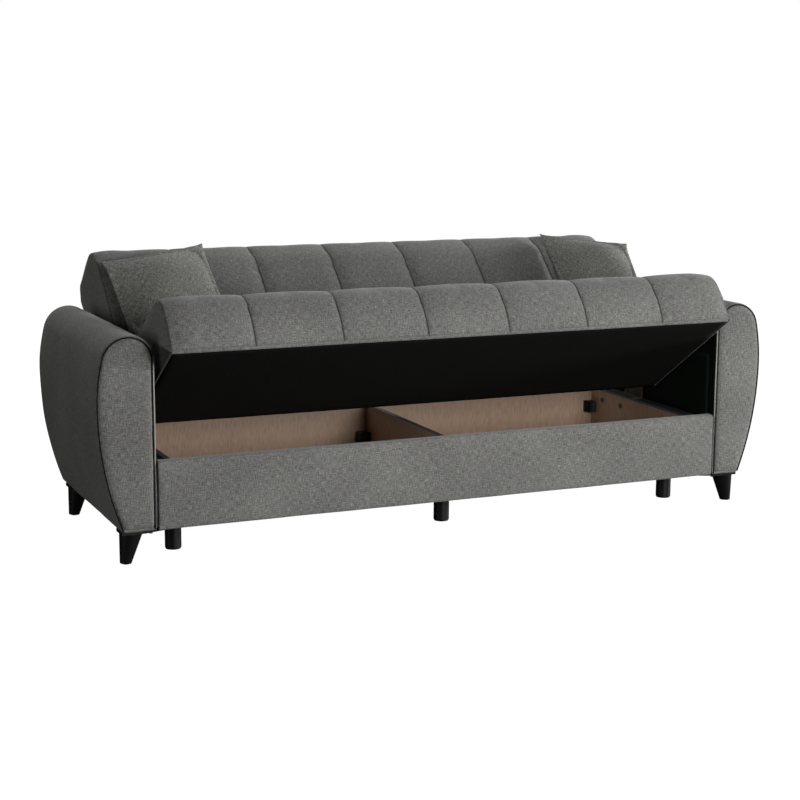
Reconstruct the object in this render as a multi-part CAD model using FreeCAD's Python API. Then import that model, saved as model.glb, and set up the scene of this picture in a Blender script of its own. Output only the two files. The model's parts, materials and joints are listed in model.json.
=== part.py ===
import FreeCAD
import Part
import math
import os

# Storage sofa with a click-clack hinge, in millimetres.
# X runs along the sofa, +Y towards its rear, +Z up, and the floor is z = 0.
# It stands as it is used to reach the storage box: the seat and the backrest are tipped up together.
# The seat and backrest are drawn closed, as a sofa, and tipped about the hinge pin at the end.

V = FreeCAD.Vector

# Arms: a roll with one section along its whole depth
ARM_INNER_X = 955.0
ARM_BEHIND_PIN = 282.5
ARM_UNDER_Z = 100.0
ARM_FOOT_WIDTH = 106.0
ARM_BULGE_WIDTH = 174.0
ARM_BULGE_Z = 470.0
ARM_CROWN_Z = 676.0
ARM_CROWN_IN = 75.0
ARM_FLANK_R = 600.0
PIPING_D = 6.4
PIPING_GAP = 0.3
FACING_INSET = 4.0
LINING_THICK = 3.0
LINING_BELOW_SEAT_TOP = 4.0
BASE_BOARD_THICK = 16.0
BASE_BOARD_INSET = 8.0
BASE_BOARD_FRONT = 32.0
BASE_BOARD_REAR = 16.0

# Front rail
RAIL_TOP_Z = 305.0
RAIL_THICK = 30.0
RAIL_PAD = 12.0
RAIL_HEM = 4.0
RAIL_END_GAP = 0.4
RAIL_FOOT_R = 5.0
RAIL_NOSE_R = 7.0
RAIL_BACK_R = 1.0

# Storage box of laminated board
BOARD = 18.0
LEDGE_WIDTH = 43.0
REAR_INSET = 2.0
BOX_BELOW_RAIL = 15.0
FLOOR_BOARD = 12.0
EDGE_BAND = 1.0
LEDGE_THICK = 16.0
LEDGE_BELOW_BOX = 2.0
BEAM_HEIGHT = 60.0
REAR_RAIL_THICK = 30.0
REAR_CLOTH = 3.0
BLOCK_WIDTH = 42.0
BLOCK_HEIGHT = 82.0
BLOCK_R = 4.0
CONNECTOR_R = 34.0
CONNECTOR_HEIGHT = 40.0
CONNECTOR_BELOW_BOX = 65.0
CONNECTOR_GROOVES = 3
GROOVE_WIDTH = 4.0
GROOVE_DEPTH = 5.0

# Legs
ARM_LEG_FOOT_R = 17.0
ARM_LEG_TOP_R = 34.0
ARM_LEG_PLATE = 9.0
ARM_LEG_WING = 147.0
ARM_LEG_WING_TIP = 2.0
ARM_LEG_EDGE = 1.0
ARM_LEG_FRONT_Y = 45.0
ARM_LEG_REAR_INSET = 60.0
ARM_LEG_DEPTH = 64.0
BOX_LEG_R = 25.0
BOX_LEG_IN = 21.0
BOX_LEG_FRONT_Y = 155.0
BOX_LEG_REAR_INSET = 37.0
BOX_LEG_BESIDE = 19.0
GLIDE_HEIGHT = 4.0
GLIDE_STEP = 2.0
SCREW_R = 3.0
SCREW_HEAD_R = 6.0
SCREW_LENGTH = 16.0
SCREW_PROUD = 2.0
SCREW_EDGE = 3.0

# Seat, drawn closed on the rail
SEAT_DEPTH = 530.0
SEAT_OVERHANG = 90.0
SEAT_GAP = 1.0
SEAT_HEIGHT = 186.0
SEAT_CLOTH = 2.0
SEAT_NOSE_RISE = 16.0
SEAT_NOSE_R = 80.0
SEAT_HEEL_R = 30.0
SEAT_FOOT_R = 6.0
SEAT_CROWN = 6.0
SEAT_CHANNEL = 273.0
TOP_BOW = 4.0
FRONT_BOW = 7.0
EDGE_SWELL = 0.6
BOW_SWELL = 0.3
CHANNELS = 7
SEAM_FLANK = 26.0
FLANK_PUFF = 0.55
END_ROUND = 20.0
END_PUFF = 0.7
END_DRAW = 2.2
COVER_WRAP = 13.0
FRAME_RAIL = 30.0
SEAT_FRAME_HEIGHT = 38.0
STRAP_WIDTH = 55.0
STRAP_THICK = 2.0
STRAPS = 9

# Hinge pin, placed from the seat's rear top corner
PIN_BEHIND_SEAT = 17.5
PIN_BELOW_TOP = 8.3
TIP_DEG = 33.0

# Backrest, drawn upright: s runs up along its face from the pin, n stands out of its face
BACK_LEAN = 15.0
BACK_FACE_N = 45.0
BACK_FOOT_S = 12.0
BACK_FOOT_R = 44.0
BACK_HEEL_R = 20.0
BACK_TOP_S = 480.0
BACK_NOSE_UP = 32.0
BACK_NOSE_IN = 19.0
BACK_NOSE_R = 60.0
BACK_BULGE_DOWN = 80.0
BACK_BULGE_OUT = 23.0
BACK_BULGE_R = 150.0
BACK_REAR_N = 174.0
BACK_FLARE = 32.0
BACK_FLARE_BELOW_TOP = 180.0
BACK_FLARE_R = 8.0
BACK_SHOULDER_UP = 3.0
BACK_PEAK_UP = 46.0
BACK_PEAK_IN = 37.0
BACK_PEAK_R = 18.0
BACK_CROWN = 6.0
BACK_CHANNEL = 268.0
BACK_CLOTH = 3.0
BACK_FRAME_DEPTH = 36.0

# Loose pillows: corners from the top outer one round, each as its distance in from the backrest's end,
# its place s up the face and its lift off it. The left one lies flat; the right one leans out at its end.
PILLOW_LEFT = [(2, 396, 0), (362, 468, 0), (382, 133, 0), (25, 57, 0)]
PILLOW_RIGHT = [(-6, 306, 114), (248, 475, 0), (264, 129, 0), (16, 96, 110)]
PILLOW_SINK = 3.2
PILLOW_RIM_CLEAR = 0.75
PILLOW_FRONT = 62.0
PILLOW_REAR = 24.0
PILLOW_DRAW = 13.0
PILLOW_TIP_R = 9.0
# Rings from the rim to the crown: share of the outline, share of the depth, share of the side draw
PILLOW_RINGS = ((1.0, 0.0, 1.0), (0.9, 0.42, 0.5), (0.66, 0.85, -0.4), (0.34, 1.0, -0.5))

# Hinge plates, stacked outwards in the gap between the seat's end and the arm
HINGE_SIDE_GAP = 1.5
PLATE = 3.0
PLATE_GAP = 0.5
PIN_R = 6.0
PIN_CLEAR = 0.05
PIN_HEAD_R = 12.0
PIN_HEAD = 2.0
PIN_END_GAP = 0.3
EYE_R = 19.0
ARM_STRIP = 34.0
SEAT_STRIP_UP = 34.0
SEAT_STRIP_IN = 18.0
SEAT_STRIP_LENGTH = 240.0
BACK_STRIP_IN = 24.0
BACK_STRIP_BEND_S = 112.0
BACK_STRIP_TOP_S = 300.0
BOLT_R = 4.0
BOLT_HEAD_R = 7.0
BOLT_HEAD = 3.0
BOLT_GRIP = 42.0
BOLT_BOSS = 2.5
NUT = 7.0
BOLT_TAIL = 2.0
BRACKET_PLATE = 4.0
BRACKET_AHEAD = 20.5
BRACKET_BEHIND = 192.5
UPRIGHT_BEHIND = 102.5
BRACKET_DROP = 62.0
BRACKET_BOLTS_BEHIND = (25.5, 150.5)
BRACKET_BOLT_DROP = 35.0
BRACKET_BOLT_HEAD_R = 9.0
RATCHET_R = 30.0
TOOTH_DEPTH = 4.0
TEETH = 24
PAWL_GAP = 0.6
PAWL_OUT = 32.0
PAWL_ANGLE = -126.0
PAWL_NOSE_ANGLE = -93.0
PAWL_R = 9.0
PAWL_WIDTH = 8.0
PAWL_PIN_R = 4.0
PAWL_PIN_HEAD = 1.0
PAWL_PIN_LIP = 2.0
PAWL_EAR_REACH = 60.0
TOOTH_LEAD = 0.03

# How far cutting tools and joined rods reach past a face
PAST = 1.0

# Worked out from the sizes above
seat_under_z = RAIL_TOP_Z + SEAT_GAP
seat_top_z = seat_under_z + SEAT_HEIGHT
seat_front_y = -SEAT_OVERHANG
seat_rear_y = seat_front_y + SEAT_DEPTH
pin_y = seat_rear_y + PIN_BEHIND_SEAT
pin_z = seat_top_z - PIN_BELOW_TOP
lean = math.radians(BACK_LEAN)
tip = math.radians(TIP_DEG)
arm_depth = pin_y + ARM_BEHIND_PIN
lining_x = ARM_INNER_X - LINING_THICK
seat_nose_z = seat_top_z + SEAT_NOSE_RISE
lining_top_z = seat_nose_z - LINING_BELOW_SEAT_TOP
box_outer_x = lining_x - LEDGE_WIDTH - BRACKET_PLATE
box_inner_x = box_outer_x - BOARD
rear_wall_y = arm_depth - REAR_INSET - REAR_CLOTH - REAR_RAIL_THICK
box_rear_y = rear_wall_y - BOARD
box_top_z = RAIL_TOP_Z - BOX_BELOW_RAIL
box_under_z = ARM_UNDER_Z + RAIL_HEM
box_floor_z = box_under_z + FLOOR_BOARD
ledge_top_z = box_top_z - LEDGE_BELOW_BOX
pin_head_x = lining_x - HINGE_SIDE_GAP - PIN_HEAD
bracket_x = pin_head_x - PLATE
back_arm_x = bracket_x - BOLT_HEAD / 2 - PLATE
seat_arm_x = back_arm_x - PLATE_GAP - PLATE
seat_half = seat_arm_x - PLATE_GAP
back_flare_n = BACK_REAR_N + BACK_FLARE
back_flare_s = BACK_TOP_S - BACK_FLARE_BELOW_TOP
back_shoulder_s = BACK_TOP_S + BACK_SHOULDER_UP
back_peak_s = BACK_TOP_S + BACK_PEAK_UP
back_peak_n = back_flare_n - BACK_PEAK_IN
back_crest_n = BACK_FACE_N + BACK_BULGE_OUT + BACK_CROWN
arm_leg_x = ARM_INNER_X + ARM_FOOT_WIDTH - ARM_LEG_EDGE


def flat(a, b):
    return V(a, b, 0)


def bar(x0, x1, y0, y1, z0, z1):
    return Part.makeBox(x1 - x0, y1 - y0, z1 - z0, V(x0, y0, z0))


def rod_x(x0, x1, y, z, radius):
    return Part.makeCylinder(radius, x1 - x0, V(x0, y, z), V(1, 0, 0))


def rod_z(x, y, z0, z1, radius):
    return Part.makeCylinder(radius, z1 - z0, V(x, y, z0))


def mirrored(shape):
    return shape.mirror(V(0, 0, 0), V(1, 0, 0))


def outline(corners, place, bows=None):
    """Closed wire with rounded corners. corners holds (a, b, radius); bows[i] bows side i outwards."""
    bows = bows or {}
    count = len(corners)
    starts = []
    ends = []
    edges = []
    for i, (a, b, radius) in enumerate(corners):
        here = flat(a, b)
        back_way = (flat(*corners[i - 1][:2]) - here).normalize()
        on_way = (flat(*corners[(i + 1) % count][:2]) - here).normalize()
        half = back_way.getAngle(on_way) / 2
        reach = radius / math.tan(half)
        bisector = (back_way + on_way).normalize()
        starts.append(here + back_way * reach)
        ends.append((here + bisector * (radius / math.sin(half) - radius), here + on_way * reach))
    turn = sum(flat(*corners[i - 1][:2]).cross(flat(*corners[i][:2])).z for i in range(count))
    outward = -1 if turn > 0 else 1
    for i in range(count):
        middle, leave = ends[i]
        if corners[i][2] > 0:
            edges.append(Part.Arc(place(starts[i]), place(middle), place(leave)).toShape())
        arrive = starts[(i + 1) % count]
        if bows.get(i):
            along = (arrive - leave).normalize()
            side = flat(-along.y, along.x) * outward * bows[i]
            crown = (leave + arrive) * 0.5 + side
            edges.append(Part.Arc(place(leave), place(crown), place(arrive)).toShape())
        else:
            edges.append(Part.LineSegment(place(leave), place(arrive)).toShape())
    return Part.Wire(edges)


def slot_plate(points, x0, thick, width):
    """Flat strip with round ends through the (y, z) points, square to X."""
    strip = None
    for (y0, z0), (y1, z1) in zip(points, points[1:]):
        length = math.hypot(y1 - y0, z1 - z0)
        run = Part.makeBox(thick, length, width, V(0, 0, -width / 2))
        run.rotate(V(0, 0, 0), V(1, 0, 0), math.degrees(math.atan2(z1 - z0, y1 - y0)))
        run.translate(V(x0, y0, z0))
        ends = [rod_x(x0, x0 + thick, y, z, width / 2) for y, z in ((y0, z0), (y1, z1))]
        run = run.fuse(ends)
        strip = run if strip is None else strip.fuse(run)
    return strip.removeSplitter()


def on_back(s, n):
    """(y, z) of a point of the upright backrest, s up its face and n out of it."""
    y = pin_y + s * math.sin(lean) - n * math.cos(lean)
    z = pin_z + s * math.cos(lean) + n * math.sin(lean)
    return y, z


def tipped(y, z):
    """(y, z) of a closed point once seat or backrest is tipped up."""
    dy = y - pin_y
    dz = z - pin_z
    return (pin_y + dy * math.cos(tip) + dz * math.sin(tip),
            pin_z - dy * math.sin(tip) + dz * math.cos(tip))


def arm_path(inset=0.0):
    """Side, crown, shoulder, flank and belly of the right arm, as tangent edges in the XZ plane."""
    crown_r = ARM_CROWN_IN - inset
    crown_x = ARM_INNER_X + ARM_CROWN_IN
    crown_z = ARM_CROWN_Z - inset
    flank_r = ARM_FLANK_R
    wide_x = ARM_INNER_X + ARM_BULGE_WIDTH - inset
    across = wide_x - crown_x
    rise = crown_z - ARM_BULGE_Z
    top_r = (across ** 2 + rise ** 2 - 2 * across * flank_r) / (2 * rise - 2 * flank_r)
    flank = V(wide_x - flank_r, 0, ARM_BULGE_Z)
    top = V(crown_x, 0, crown_z - top_r)
    join = top + (top - flank).normalize() * top_r
    foot_x = ARM_INNER_X + ARM_FOOT_WIDTH - inset
    foot_z = ARM_UNDER_Z + inset
    drop = ARM_BULGE_Z - foot_z
    draw = wide_x - foot_x
    belly_r = (draw ** 2 + drop ** 2) / (2 * draw)
    belly = V(wide_x - belly_r, 0, ARM_BULGE_Z)

    def round_off(centre, radius, start, end):
        middle = ((start - centre).normalize() + (end - centre).normalize()).normalize()
        return Part.Arc(start, centre + middle * radius, end).toShape()

    inner = ARM_INNER_X + inset
    low_in = V(inner, 0, foot_z)
    high_in = V(inner, 0, crown_z - crown_r)
    crown = V(crown_x, 0, crown_z)
    wide = V(wide_x, 0, ARM_BULGE_Z)
    foot = V(foot_x, 0, foot_z)
    path = [
        Part.LineSegment(low_in, high_in).toShape(),
        round_off(V(crown_x, 0, crown_z - crown_r), crown_r, high_in, crown),
        round_off(top, top_r, crown, join),
        round_off(flank, flank_r, join, wide),
        round_off(belly, belly_r, wide, foot),
    ]
    return path, low_in, foot


def arm_slab(y0, y1, inset=0.0):
    path, low_in, foot = arm_path(inset)
    face = Part.Face(Part.Wire(path + [Part.LineSegment(foot, low_in).toShape()]))
    face.translate(V(0, y0, 0))
    return face.extrude(V(0, y1 - y0, 0))


def arm_body():
    front = PIPING_D + 2 * PIPING_GAP
    body = arm_slab(front, arm_depth)
    pocket = arm_board(PIPING_GAP)
    return body.cut(pocket).cut(arm_leg_screws())


def arm_facing():
    return arm_slab(0.0, PIPING_D + 2 * PIPING_GAP, FACING_INSET)


def arm_piping():
    path = arm_path()[0]
    start = V(ARM_INNER_X, 0, ARM_UNDER_Z)
    ring = Part.Wire(Part.Circle(start, V(0, 0, 1), PIPING_D / 2).toShape())
    cord = Part.Wire(path).makePipeShell([ring], True, False)
    cord.translate(V(0, PIPING_D / 2 + PIPING_GAP, 0))
    return cord


def arm_board(spare=0.0):
    inner = ARM_INNER_X + BASE_BOARD_INSET
    outer = ARM_INNER_X + ARM_FOOT_WIDTH - BASE_BOARD_INSET
    front = BASE_BOARD_FRONT
    rear = arm_depth - BASE_BOARD_REAR
    top = ARM_UNDER_Z + BASE_BOARD_THICK + spare
    return bar(inner - spare, outer + spare, front - spare, rear + spare, ARM_UNDER_Z, top)


def arm_lining():
    front = PIPING_D + 2 * PIPING_GAP + RAIL_THICK
    return bar(lining_x, ARM_INNER_X, front, arm_depth, ledge_top_z, lining_top_z)


def arm_leg_spots():
    rear = arm_depth - ARM_LEG_REAR_INSET
    return (("front", ARM_LEG_FRONT_Y), ("rear", rear))


def arm_leg(y):
    """Tapered leg with an upright outer edge and a wing under its plate."""
    outer = arm_leg_x
    under = ARM_UNDER_Z - ARM_LEG_PLATE
    taper = (ARM_LEG_TOP_R - ARM_LEG_FOOT_R) / under
    along = V(-taper, 0, 1)
    start = V(outer - ARM_LEG_FOOT_R, y, 0) - along * PAST
    stem = Part.makeCone(ARM_LEG_FOOT_R - taper * PAST, ARM_LEG_TOP_R + taper * PAST,
                         along.Length * (under + 2 * PAST), start, along)
    stem = stem.common(bar(outer - 2 * ARM_LEG_TOP_R - PAST, outer + PAST, y - ARM_LEG_TOP_R - PAST,
                           y + ARM_LEG_TOP_R + PAST, 0, under))
    wing = [V(outer, 0, ARM_UNDER_Z), V(outer, 0, under), V(outer - 2 * ARM_LEG_TOP_R, 0, under),
            V(outer - ARM_LEG_WING, 0, ARM_UNDER_Z - ARM_LEG_WING_TIP), V(outer - ARM_LEG_WING, 0, ARM_UNDER_Z)]
    plate = Part.Face(Part.makePolygon(wing + wing[:1])).extrude(V(0, ARM_LEG_DEPTH, 0))
    plate.translate(V(0, y - ARM_LEG_DEPTH / 2, 0))
    return stem.fuse(plate).cut(arm_leg_screws())


def arm_leg_screws():
    """Two screws up through each leg's plate into the board of the arm."""
    screws = []
    across = ARM_LEG_DEPTH / 2 - SCREW_HEAD_R - SCREW_EDGE
    x = ARM_INNER_X + BASE_BOARD_INSET + SCREW_HEAD_R + SCREW_EDGE
    for _, y in arm_leg_spots():
        for side in (-across, across):
            low = ARM_UNDER_Z - ARM_LEG_PLATE
            shank = rod_z(x, y + side, low, ARM_UNDER_Z + SCREW_LENGTH, SCREW_R)
            head = rod_z(x, y + side, low - SCREW_PROUD, ARM_UNDER_Z - SCREW_PROUD, SCREW_HEAD_R)
            screws.append(shank.fuse(head).removeSplitter())
    return Part.makeCompound(screws)


def rail_cover():
    """Padded cover of the front rail, hemmed over the top and bottom of its board."""
    half = ARM_INNER_X - PIPING_D / 2 - PIPING_GAP
    rind = outline([(0, ARM_UNDER_Z, RAIL_FOOT_R), (RAIL_THICK, ARM_UNDER_Z, RAIL_BACK_R),
                    (RAIL_THICK, RAIL_TOP_Z, RAIL_BACK_R), (0, RAIL_TOP_Z, RAIL_NOSE_R)],
                   lambda p: V(-half, p.x, p.y))
    skin = Part.Face(rind).extrude(V(2 * half, 0, 0))
    return skin.cut(rail_board(PAST))


def rail_board(spare=0.0):
    half = ARM_INNER_X - RAIL_END_GAP + spare
    return bar(-half, half, RAIL_PAD, RAIL_THICK + spare, ARM_UNDER_Z + RAIL_HEM, RAIL_TOP_Z - RAIL_HEM)


def side_board():
    board = bar(box_inner_x, box_outer_x, RAIL_THICK, box_rear_y, box_under_z, box_top_z - EDGE_BAND)
    return board.cut(bracket_bolts(PIN_CLEAR))


def divider():
    return bar(-BOARD / 2, BOARD / 2, RAIL_THICK, box_rear_y, box_under_z, box_top_z - EDGE_BAND)


def rear_wall():
    return bar(-lining_x, lining_x, box_rear_y, rear_wall_y, box_under_z, box_top_z - EDGE_BAND)


def edge_bands():
    low = box_top_z - EDGE_BAND
    bands = [bar(box_inner_x, box_outer_x, RAIL_THICK, box_rear_y, low, box_top_z),
             bar(-box_outer_x, -box_inner_x, RAIL_THICK, box_rear_y, low, box_top_z),
             bar(-BOARD / 2, BOARD / 2, RAIL_THICK, box_rear_y, low, box_top_z),
             bar(-lining_x, lining_x, box_rear_y, rear_wall_y, low, box_top_z)]
    return Part.makeCompound(bands)


def floor_board(side):
    panel = bar(BOARD / 2, box_inner_x, RAIL_THICK, box_rear_y, box_under_z, box_floor_z)
    return panel if side > 0 else mirrored(panel)


def ledge():
    """Dark shelf between the box and the arm, standing clear of the box for the bracket's flange."""
    inner = box_outer_x + BRACKET_PLATE
    return bar(inner, lining_x, RAIL_THICK, box_rear_y, ledge_top_z - LEDGE_THICK, ledge_top_z)


def side_beams():
    """Two timbers under the ledge that join the box to the arm."""
    inner = box_outer_x + BRACKET_PLATE
    top = ledge_top_z - LEDGE_THICK
    beams = []
    for low in (top - BEAM_HEIGHT, box_under_z):
        beams.append(bar(inner, lining_x, RAIL_THICK, box_rear_y, low, low + BEAM_HEIGHT))
    return Part.makeCompound(beams).cut(bracket_bolts(PIN_CLEAR))


def rear_rail():
    middle = (box_under_z + box_top_z) / 2
    low = middle - BEAM_HEIGHT
    return bar(-lining_x, lining_x, rear_wall_y, rear_wall_y + REAR_RAIL_THICK, low, middle + BEAM_HEIGHT)


def rear_cloth():
    """Cloth stretched over the rear rail, turned in above and below it to the rear wall."""
    outer = rear_wall_y + REAR_RAIL_THICK + REAR_CLOTH
    sheet = bar(-lining_x, lining_x, rear_wall_y, outer, box_under_z, box_top_z)
    hollow = bar(-ARM_INNER_X, ARM_INNER_X, rear_wall_y - PAST, outer - REAR_CLOTH,
                 box_under_z + REAR_CLOTH, box_top_z - REAR_CLOTH)
    return sheet.cut(hollow)


def leg_blocks():
    """Blocks beside the divider, over the front and rear middle legs."""
    half = BOARD / 2
    front = bar(half, half + BLOCK_WIDTH, RAIL_THICK, RAIL_THICK + BLOCK_WIDTH,
                box_floor_z, box_floor_z + BLOCK_HEIGHT)
    rear = bar(-half - BLOCK_WIDTH, -half, box_rear_y - BLOCK_WIDTH, box_rear_y,
               box_floor_z, box_floor_z + BLOCK_HEIGHT)
    blocks = []
    for block in (front, rear):
        upright = [e for e in block.Edges if abs(e.tangentAt(0).z) > 0.9]
        blocks.append(block.makeFillet(BLOCK_R, upright))
    return Part.makeCompound(blocks)


def corner_connectors():
    """Fan-shaped connectors between the side boards and the rear wall."""
    low = box_top_z - CONNECTOR_BELOW_BOX - CONNECTOR_HEIGHT / 2
    fan = Part.makeCylinder(CONNECTOR_R, CONNECTOR_HEIGHT, V(box_inner_x, box_rear_y, low),
                            V(0, 0, 1), 90)
    fan.rotate(V(box_inner_x, box_rear_y, 0), V(0, 0, 1), 180)
    for step in range(CONNECTOR_GROOVES):
        groove = bar(-GROOVE_WIDTH / 2, GROOVE_WIDTH / 2, CONNECTOR_R - GROOVE_DEPTH, CONNECTOR_R + PAST,
                     low - PAST, low + CONNECTOR_HEIGHT + PAST)
        groove.rotate(V(0, 0, 0), V(0, 0, 1), 90 + 90 * (step + 1) / (CONNECTOR_GROOVES + 1))
        groove.translate(V(box_inner_x, box_rear_y, 0))
        fan = fan.cut(groove)
    return Part.makeCompound([fan, mirrored(fan)])


def box_leg_spots():
    side = box_inner_x - BOX_LEG_IN
    middle = BOARD / 2 + BOX_LEG_BESIDE
    rear = box_rear_y - BOX_LEG_REAR_INSET
    return (("front_left", -side, BOX_LEG_FRONT_Y), ("front_right", side, BOX_LEG_FRONT_Y),
            ("front_middle", middle, BOX_LEG_FRONT_Y), ("rear_left", -side, rear),
            ("rear_right", side, rear), ("rear_middle", -middle, rear))


def box_leg(x, y):
    """Round leg with a stepped glide at its foot."""
    glide = rod_z(x, y, 0, GLIDE_HEIGHT, BOX_LEG_R - GLIDE_STEP)
    return rod_z(x, y, GLIDE_HEIGHT, box_under_z, BOX_LEG_R).fuse(glide).removeSplitter()


def channel_sections(half, width):
    """Seam lines and fullness along a channelled pad, one list of (x, puff) to each channel."""
    count = CHANNELS
    seams = [-half] + [(i - count / 2) * width for i in range(1, count)] + [half]
    rows = []
    for i in range(count):
        left, right = seams[i:i + 2]
        row = [(left, 0.0), (left + SEAM_FLANK, FLANK_PUFF), ((left + right) / 2, 1.0),
               (right - SEAM_FLANK, FLANK_PUFF), (right, 0.0)]
        if i == 0:
            row[:2] = [(left + END_ROUND, END_PUFF)]
        if i == count - 1:
            row[3:] = [(right - END_ROUND, END_PUFF)]
        rows.append(row)
    for side in (-1, 1):
        rim = [(side * (half - END_ROUND * (1 - math.sin(a))), END_PUFF - END_DRAW * (1 - math.cos(a)))
               for a in (0.0, math.pi / 4, math.pi / 2)]
        rows.append(rim)
    return rows


def channelled(section, half, width):
    """Pad lofted channel by channel and joined along its seams."""
    lofts = []
    for row in channel_sections(half, width):
        lofts.append(Part.makeLoft([section(x, puff) for x, puff in row], True, False))
    return lofts[0].fuse(lofts[1:])


def seat_section(x, puff):
    full = SEAT_CROWN * puff
    front = seat_front_y - full * EDGE_SWELL
    low = seat_under_z + SEAT_CLOTH
    corners = [(seat_front_y, low, SEAT_FOOT_R), (seat_rear_y, low, SEAT_FOOT_R),
               (seat_rear_y, seat_top_z + min(full, 0), SEAT_HEEL_R), (front, seat_nose_z + full, SEAT_NOSE_R)]
    bows = {2: TOP_BOW + full * BOW_SWELL, 3: FRONT_BOW}
    return outline(corners, lambda p: V(x, p.x, p.y), bows)


def seat_pad():
    pad = channelled(seat_section, seat_half, SEAT_CHANNEL)
    low = seat_under_z + SEAT_CLOTH
    top = low + SEAT_FRAME_HEIGHT + STRAP_THICK
    inner = seat_half - COVER_WRAP
    recess = bar(-inner, inner, seat_front_y + COVER_WRAP, seat_rear_y - COVER_WRAP, low - PAST, top)
    holes = [seat_arm_bolts(PIN_CLEAR), mirrored(seat_arm_bolts(PIN_CLEAR))]
    return pad.cut(recess).cut(Part.makeCompound(holes))


def seat_frame():
    """Timber frame under the seat's foam: two long rails, two ends and two cross rails."""
    low = seat_under_z + SEAT_CLOTH
    top = low + SEAT_FRAME_HEIGHT
    inner = seat_half - COVER_WRAP
    front = seat_front_y + COVER_WRAP
    rear = seat_rear_y - COVER_WRAP
    rails = [bar(-inner, inner, front, front + FRAME_RAIL, low, top),
             bar(-inner, inner, rear - FRAME_RAIL, rear, low, top)]
    for x in (-inner, -inner / 3, inner / 3 - FRAME_RAIL, inner - FRAME_RAIL):
        rails.append(bar(x, x + FRAME_RAIL, front + FRAME_RAIL, rear - FRAME_RAIL, low, top))
    frame = Part.makeCompound(rails)
    holes = Part.makeCompound([seat_arm_bolts(), mirrored(seat_arm_bolts())])
    return frame.cut(holes)


def seat_straps():
    """Elastic webbing from front to rear over the seat frame."""
    low = seat_under_z + SEAT_CLOTH + SEAT_FRAME_HEIGHT
    inner = seat_half - COVER_WRAP
    pitch = 2 * inner / STRAPS
    front = seat_front_y + COVER_WRAP
    rear = seat_rear_y - COVER_WRAP
    straps = []
    for i in range(STRAPS):
        middle = -inner + (i + 0.5) * pitch
        straps.append(bar(middle - STRAP_WIDTH / 2, middle + STRAP_WIDTH / 2, front, rear,
                          low, low + STRAP_THICK))
    return Part.makeCompound(straps)


def seat_underlining():
    """Black cloth stapled under the seat, just inside its edge."""
    edge = SEAT_FOOT_R
    return bar(-seat_half + edge, seat_half - edge, seat_front_y + edge, seat_rear_y - edge,
               seat_under_z, seat_under_z + SEAT_CLOTH)


def back_rear_corners(lift):
    """(s, n) corners of the backrest's rear side, from the foot to the peak, lifted off it by lift."""
    return [(BACK_FOOT_S, -BACK_REAR_N + lift), (back_flare_s, -BACK_REAR_N + lift),
            (back_shoulder_s, -back_flare_n + lift)]


def back_section(x, puff):
    full = BACK_CROWN * puff
    foot, flare, shoulder = back_rear_corners(BACK_CLOTH)
    corners = [(BACK_FOOT_S, BACK_FACE_N + min(full, 0), BACK_FOOT_R), (*foot, BACK_HEEL_R),
               (*flare, BACK_FLARE_R), (*shoulder, BACK_PEAK_R),
               (back_peak_s + full * EDGE_SWELL, -back_peak_n, BACK_PEAK_R),
               (BACK_TOP_S + BACK_NOSE_UP + full * EDGE_SWELL, BACK_FACE_N - BACK_NOSE_IN + full, BACK_NOSE_R),
               (BACK_TOP_S - BACK_BULGE_DOWN, BACK_FACE_N + BACK_BULGE_OUT + full, BACK_BULGE_R)]

    def place(p):
        y, z = on_back(p.x, p.y)
        return V(x, y, z)

    return outline(corners, place, {4: TOP_BOW, 6: TOP_BOW})


def back_slab(corners, half):
    """Straight slab of the (s, n) corners, from -half to half along X."""
    points = []
    for s, n in corners:
        y, z = on_back(s, n)
        points.append(V(-half, y, z))
    return Part.Face(Part.makePolygon(points + points[:1])).extrude(V(2 * half, 0, 0))


def back_frame_bounds():
    low = BACK_FOOT_S + BACK_HEEL_R + COVER_WRAP
    return low, back_shoulder_s - 2 * BACK_HEEL_R


def back_pad():
    pad = channelled(back_section, seat_half, BACK_CHANNEL)
    inner = seat_half - COVER_WRAP
    low, high = back_frame_bounds()
    depth = -BACK_REAR_N + BACK_CLOTH + BACK_FRAME_DEPTH
    behind = -back_flare_n - PAST
    recess = back_slab([(low, depth), (low, behind), (high, behind), (high, depth)], inner)
    holes = [back_arm_bolts(PIN_CLEAR), mirrored(back_arm_bolts(PIN_CLEAR))]
    return pad.cut(recess).cut(Part.makeCompound(holes))


def back_frame():
    """Timber frame behind the backrest's foam."""
    inner = seat_half - COVER_WRAP
    low, high = back_frame_bounds()
    near = -BACK_REAR_N + BACK_CLOTH + BACK_FRAME_DEPTH
    far = -BACK_REAR_N + BACK_CLOTH
    rails = [back_slab([(low, near), (low, far), (low + FRAME_RAIL, far), (low + FRAME_RAIL, near)], inner),
             back_slab([(high - FRAME_RAIL, near), (high - FRAME_RAIL, far), (high, far), (high, near)], inner)]
    for x in (-inner, -inner / 3, inner / 3 - FRAME_RAIL, inner - FRAME_RAIL):
        post = back_slab([(low + FRAME_RAIL, near), (low + FRAME_RAIL, far),
                          (high - FRAME_RAIL, far), (high - FRAME_RAIL, near)], FRAME_RAIL / 2)
        post.translate(V(x + FRAME_RAIL / 2, 0, 0))
        rails.append(post)
    holes = Part.makeCompound([back_arm_bolts(), mirrored(back_arm_bolts())])
    return Part.makeCompound(rails).cut(holes)


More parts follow.
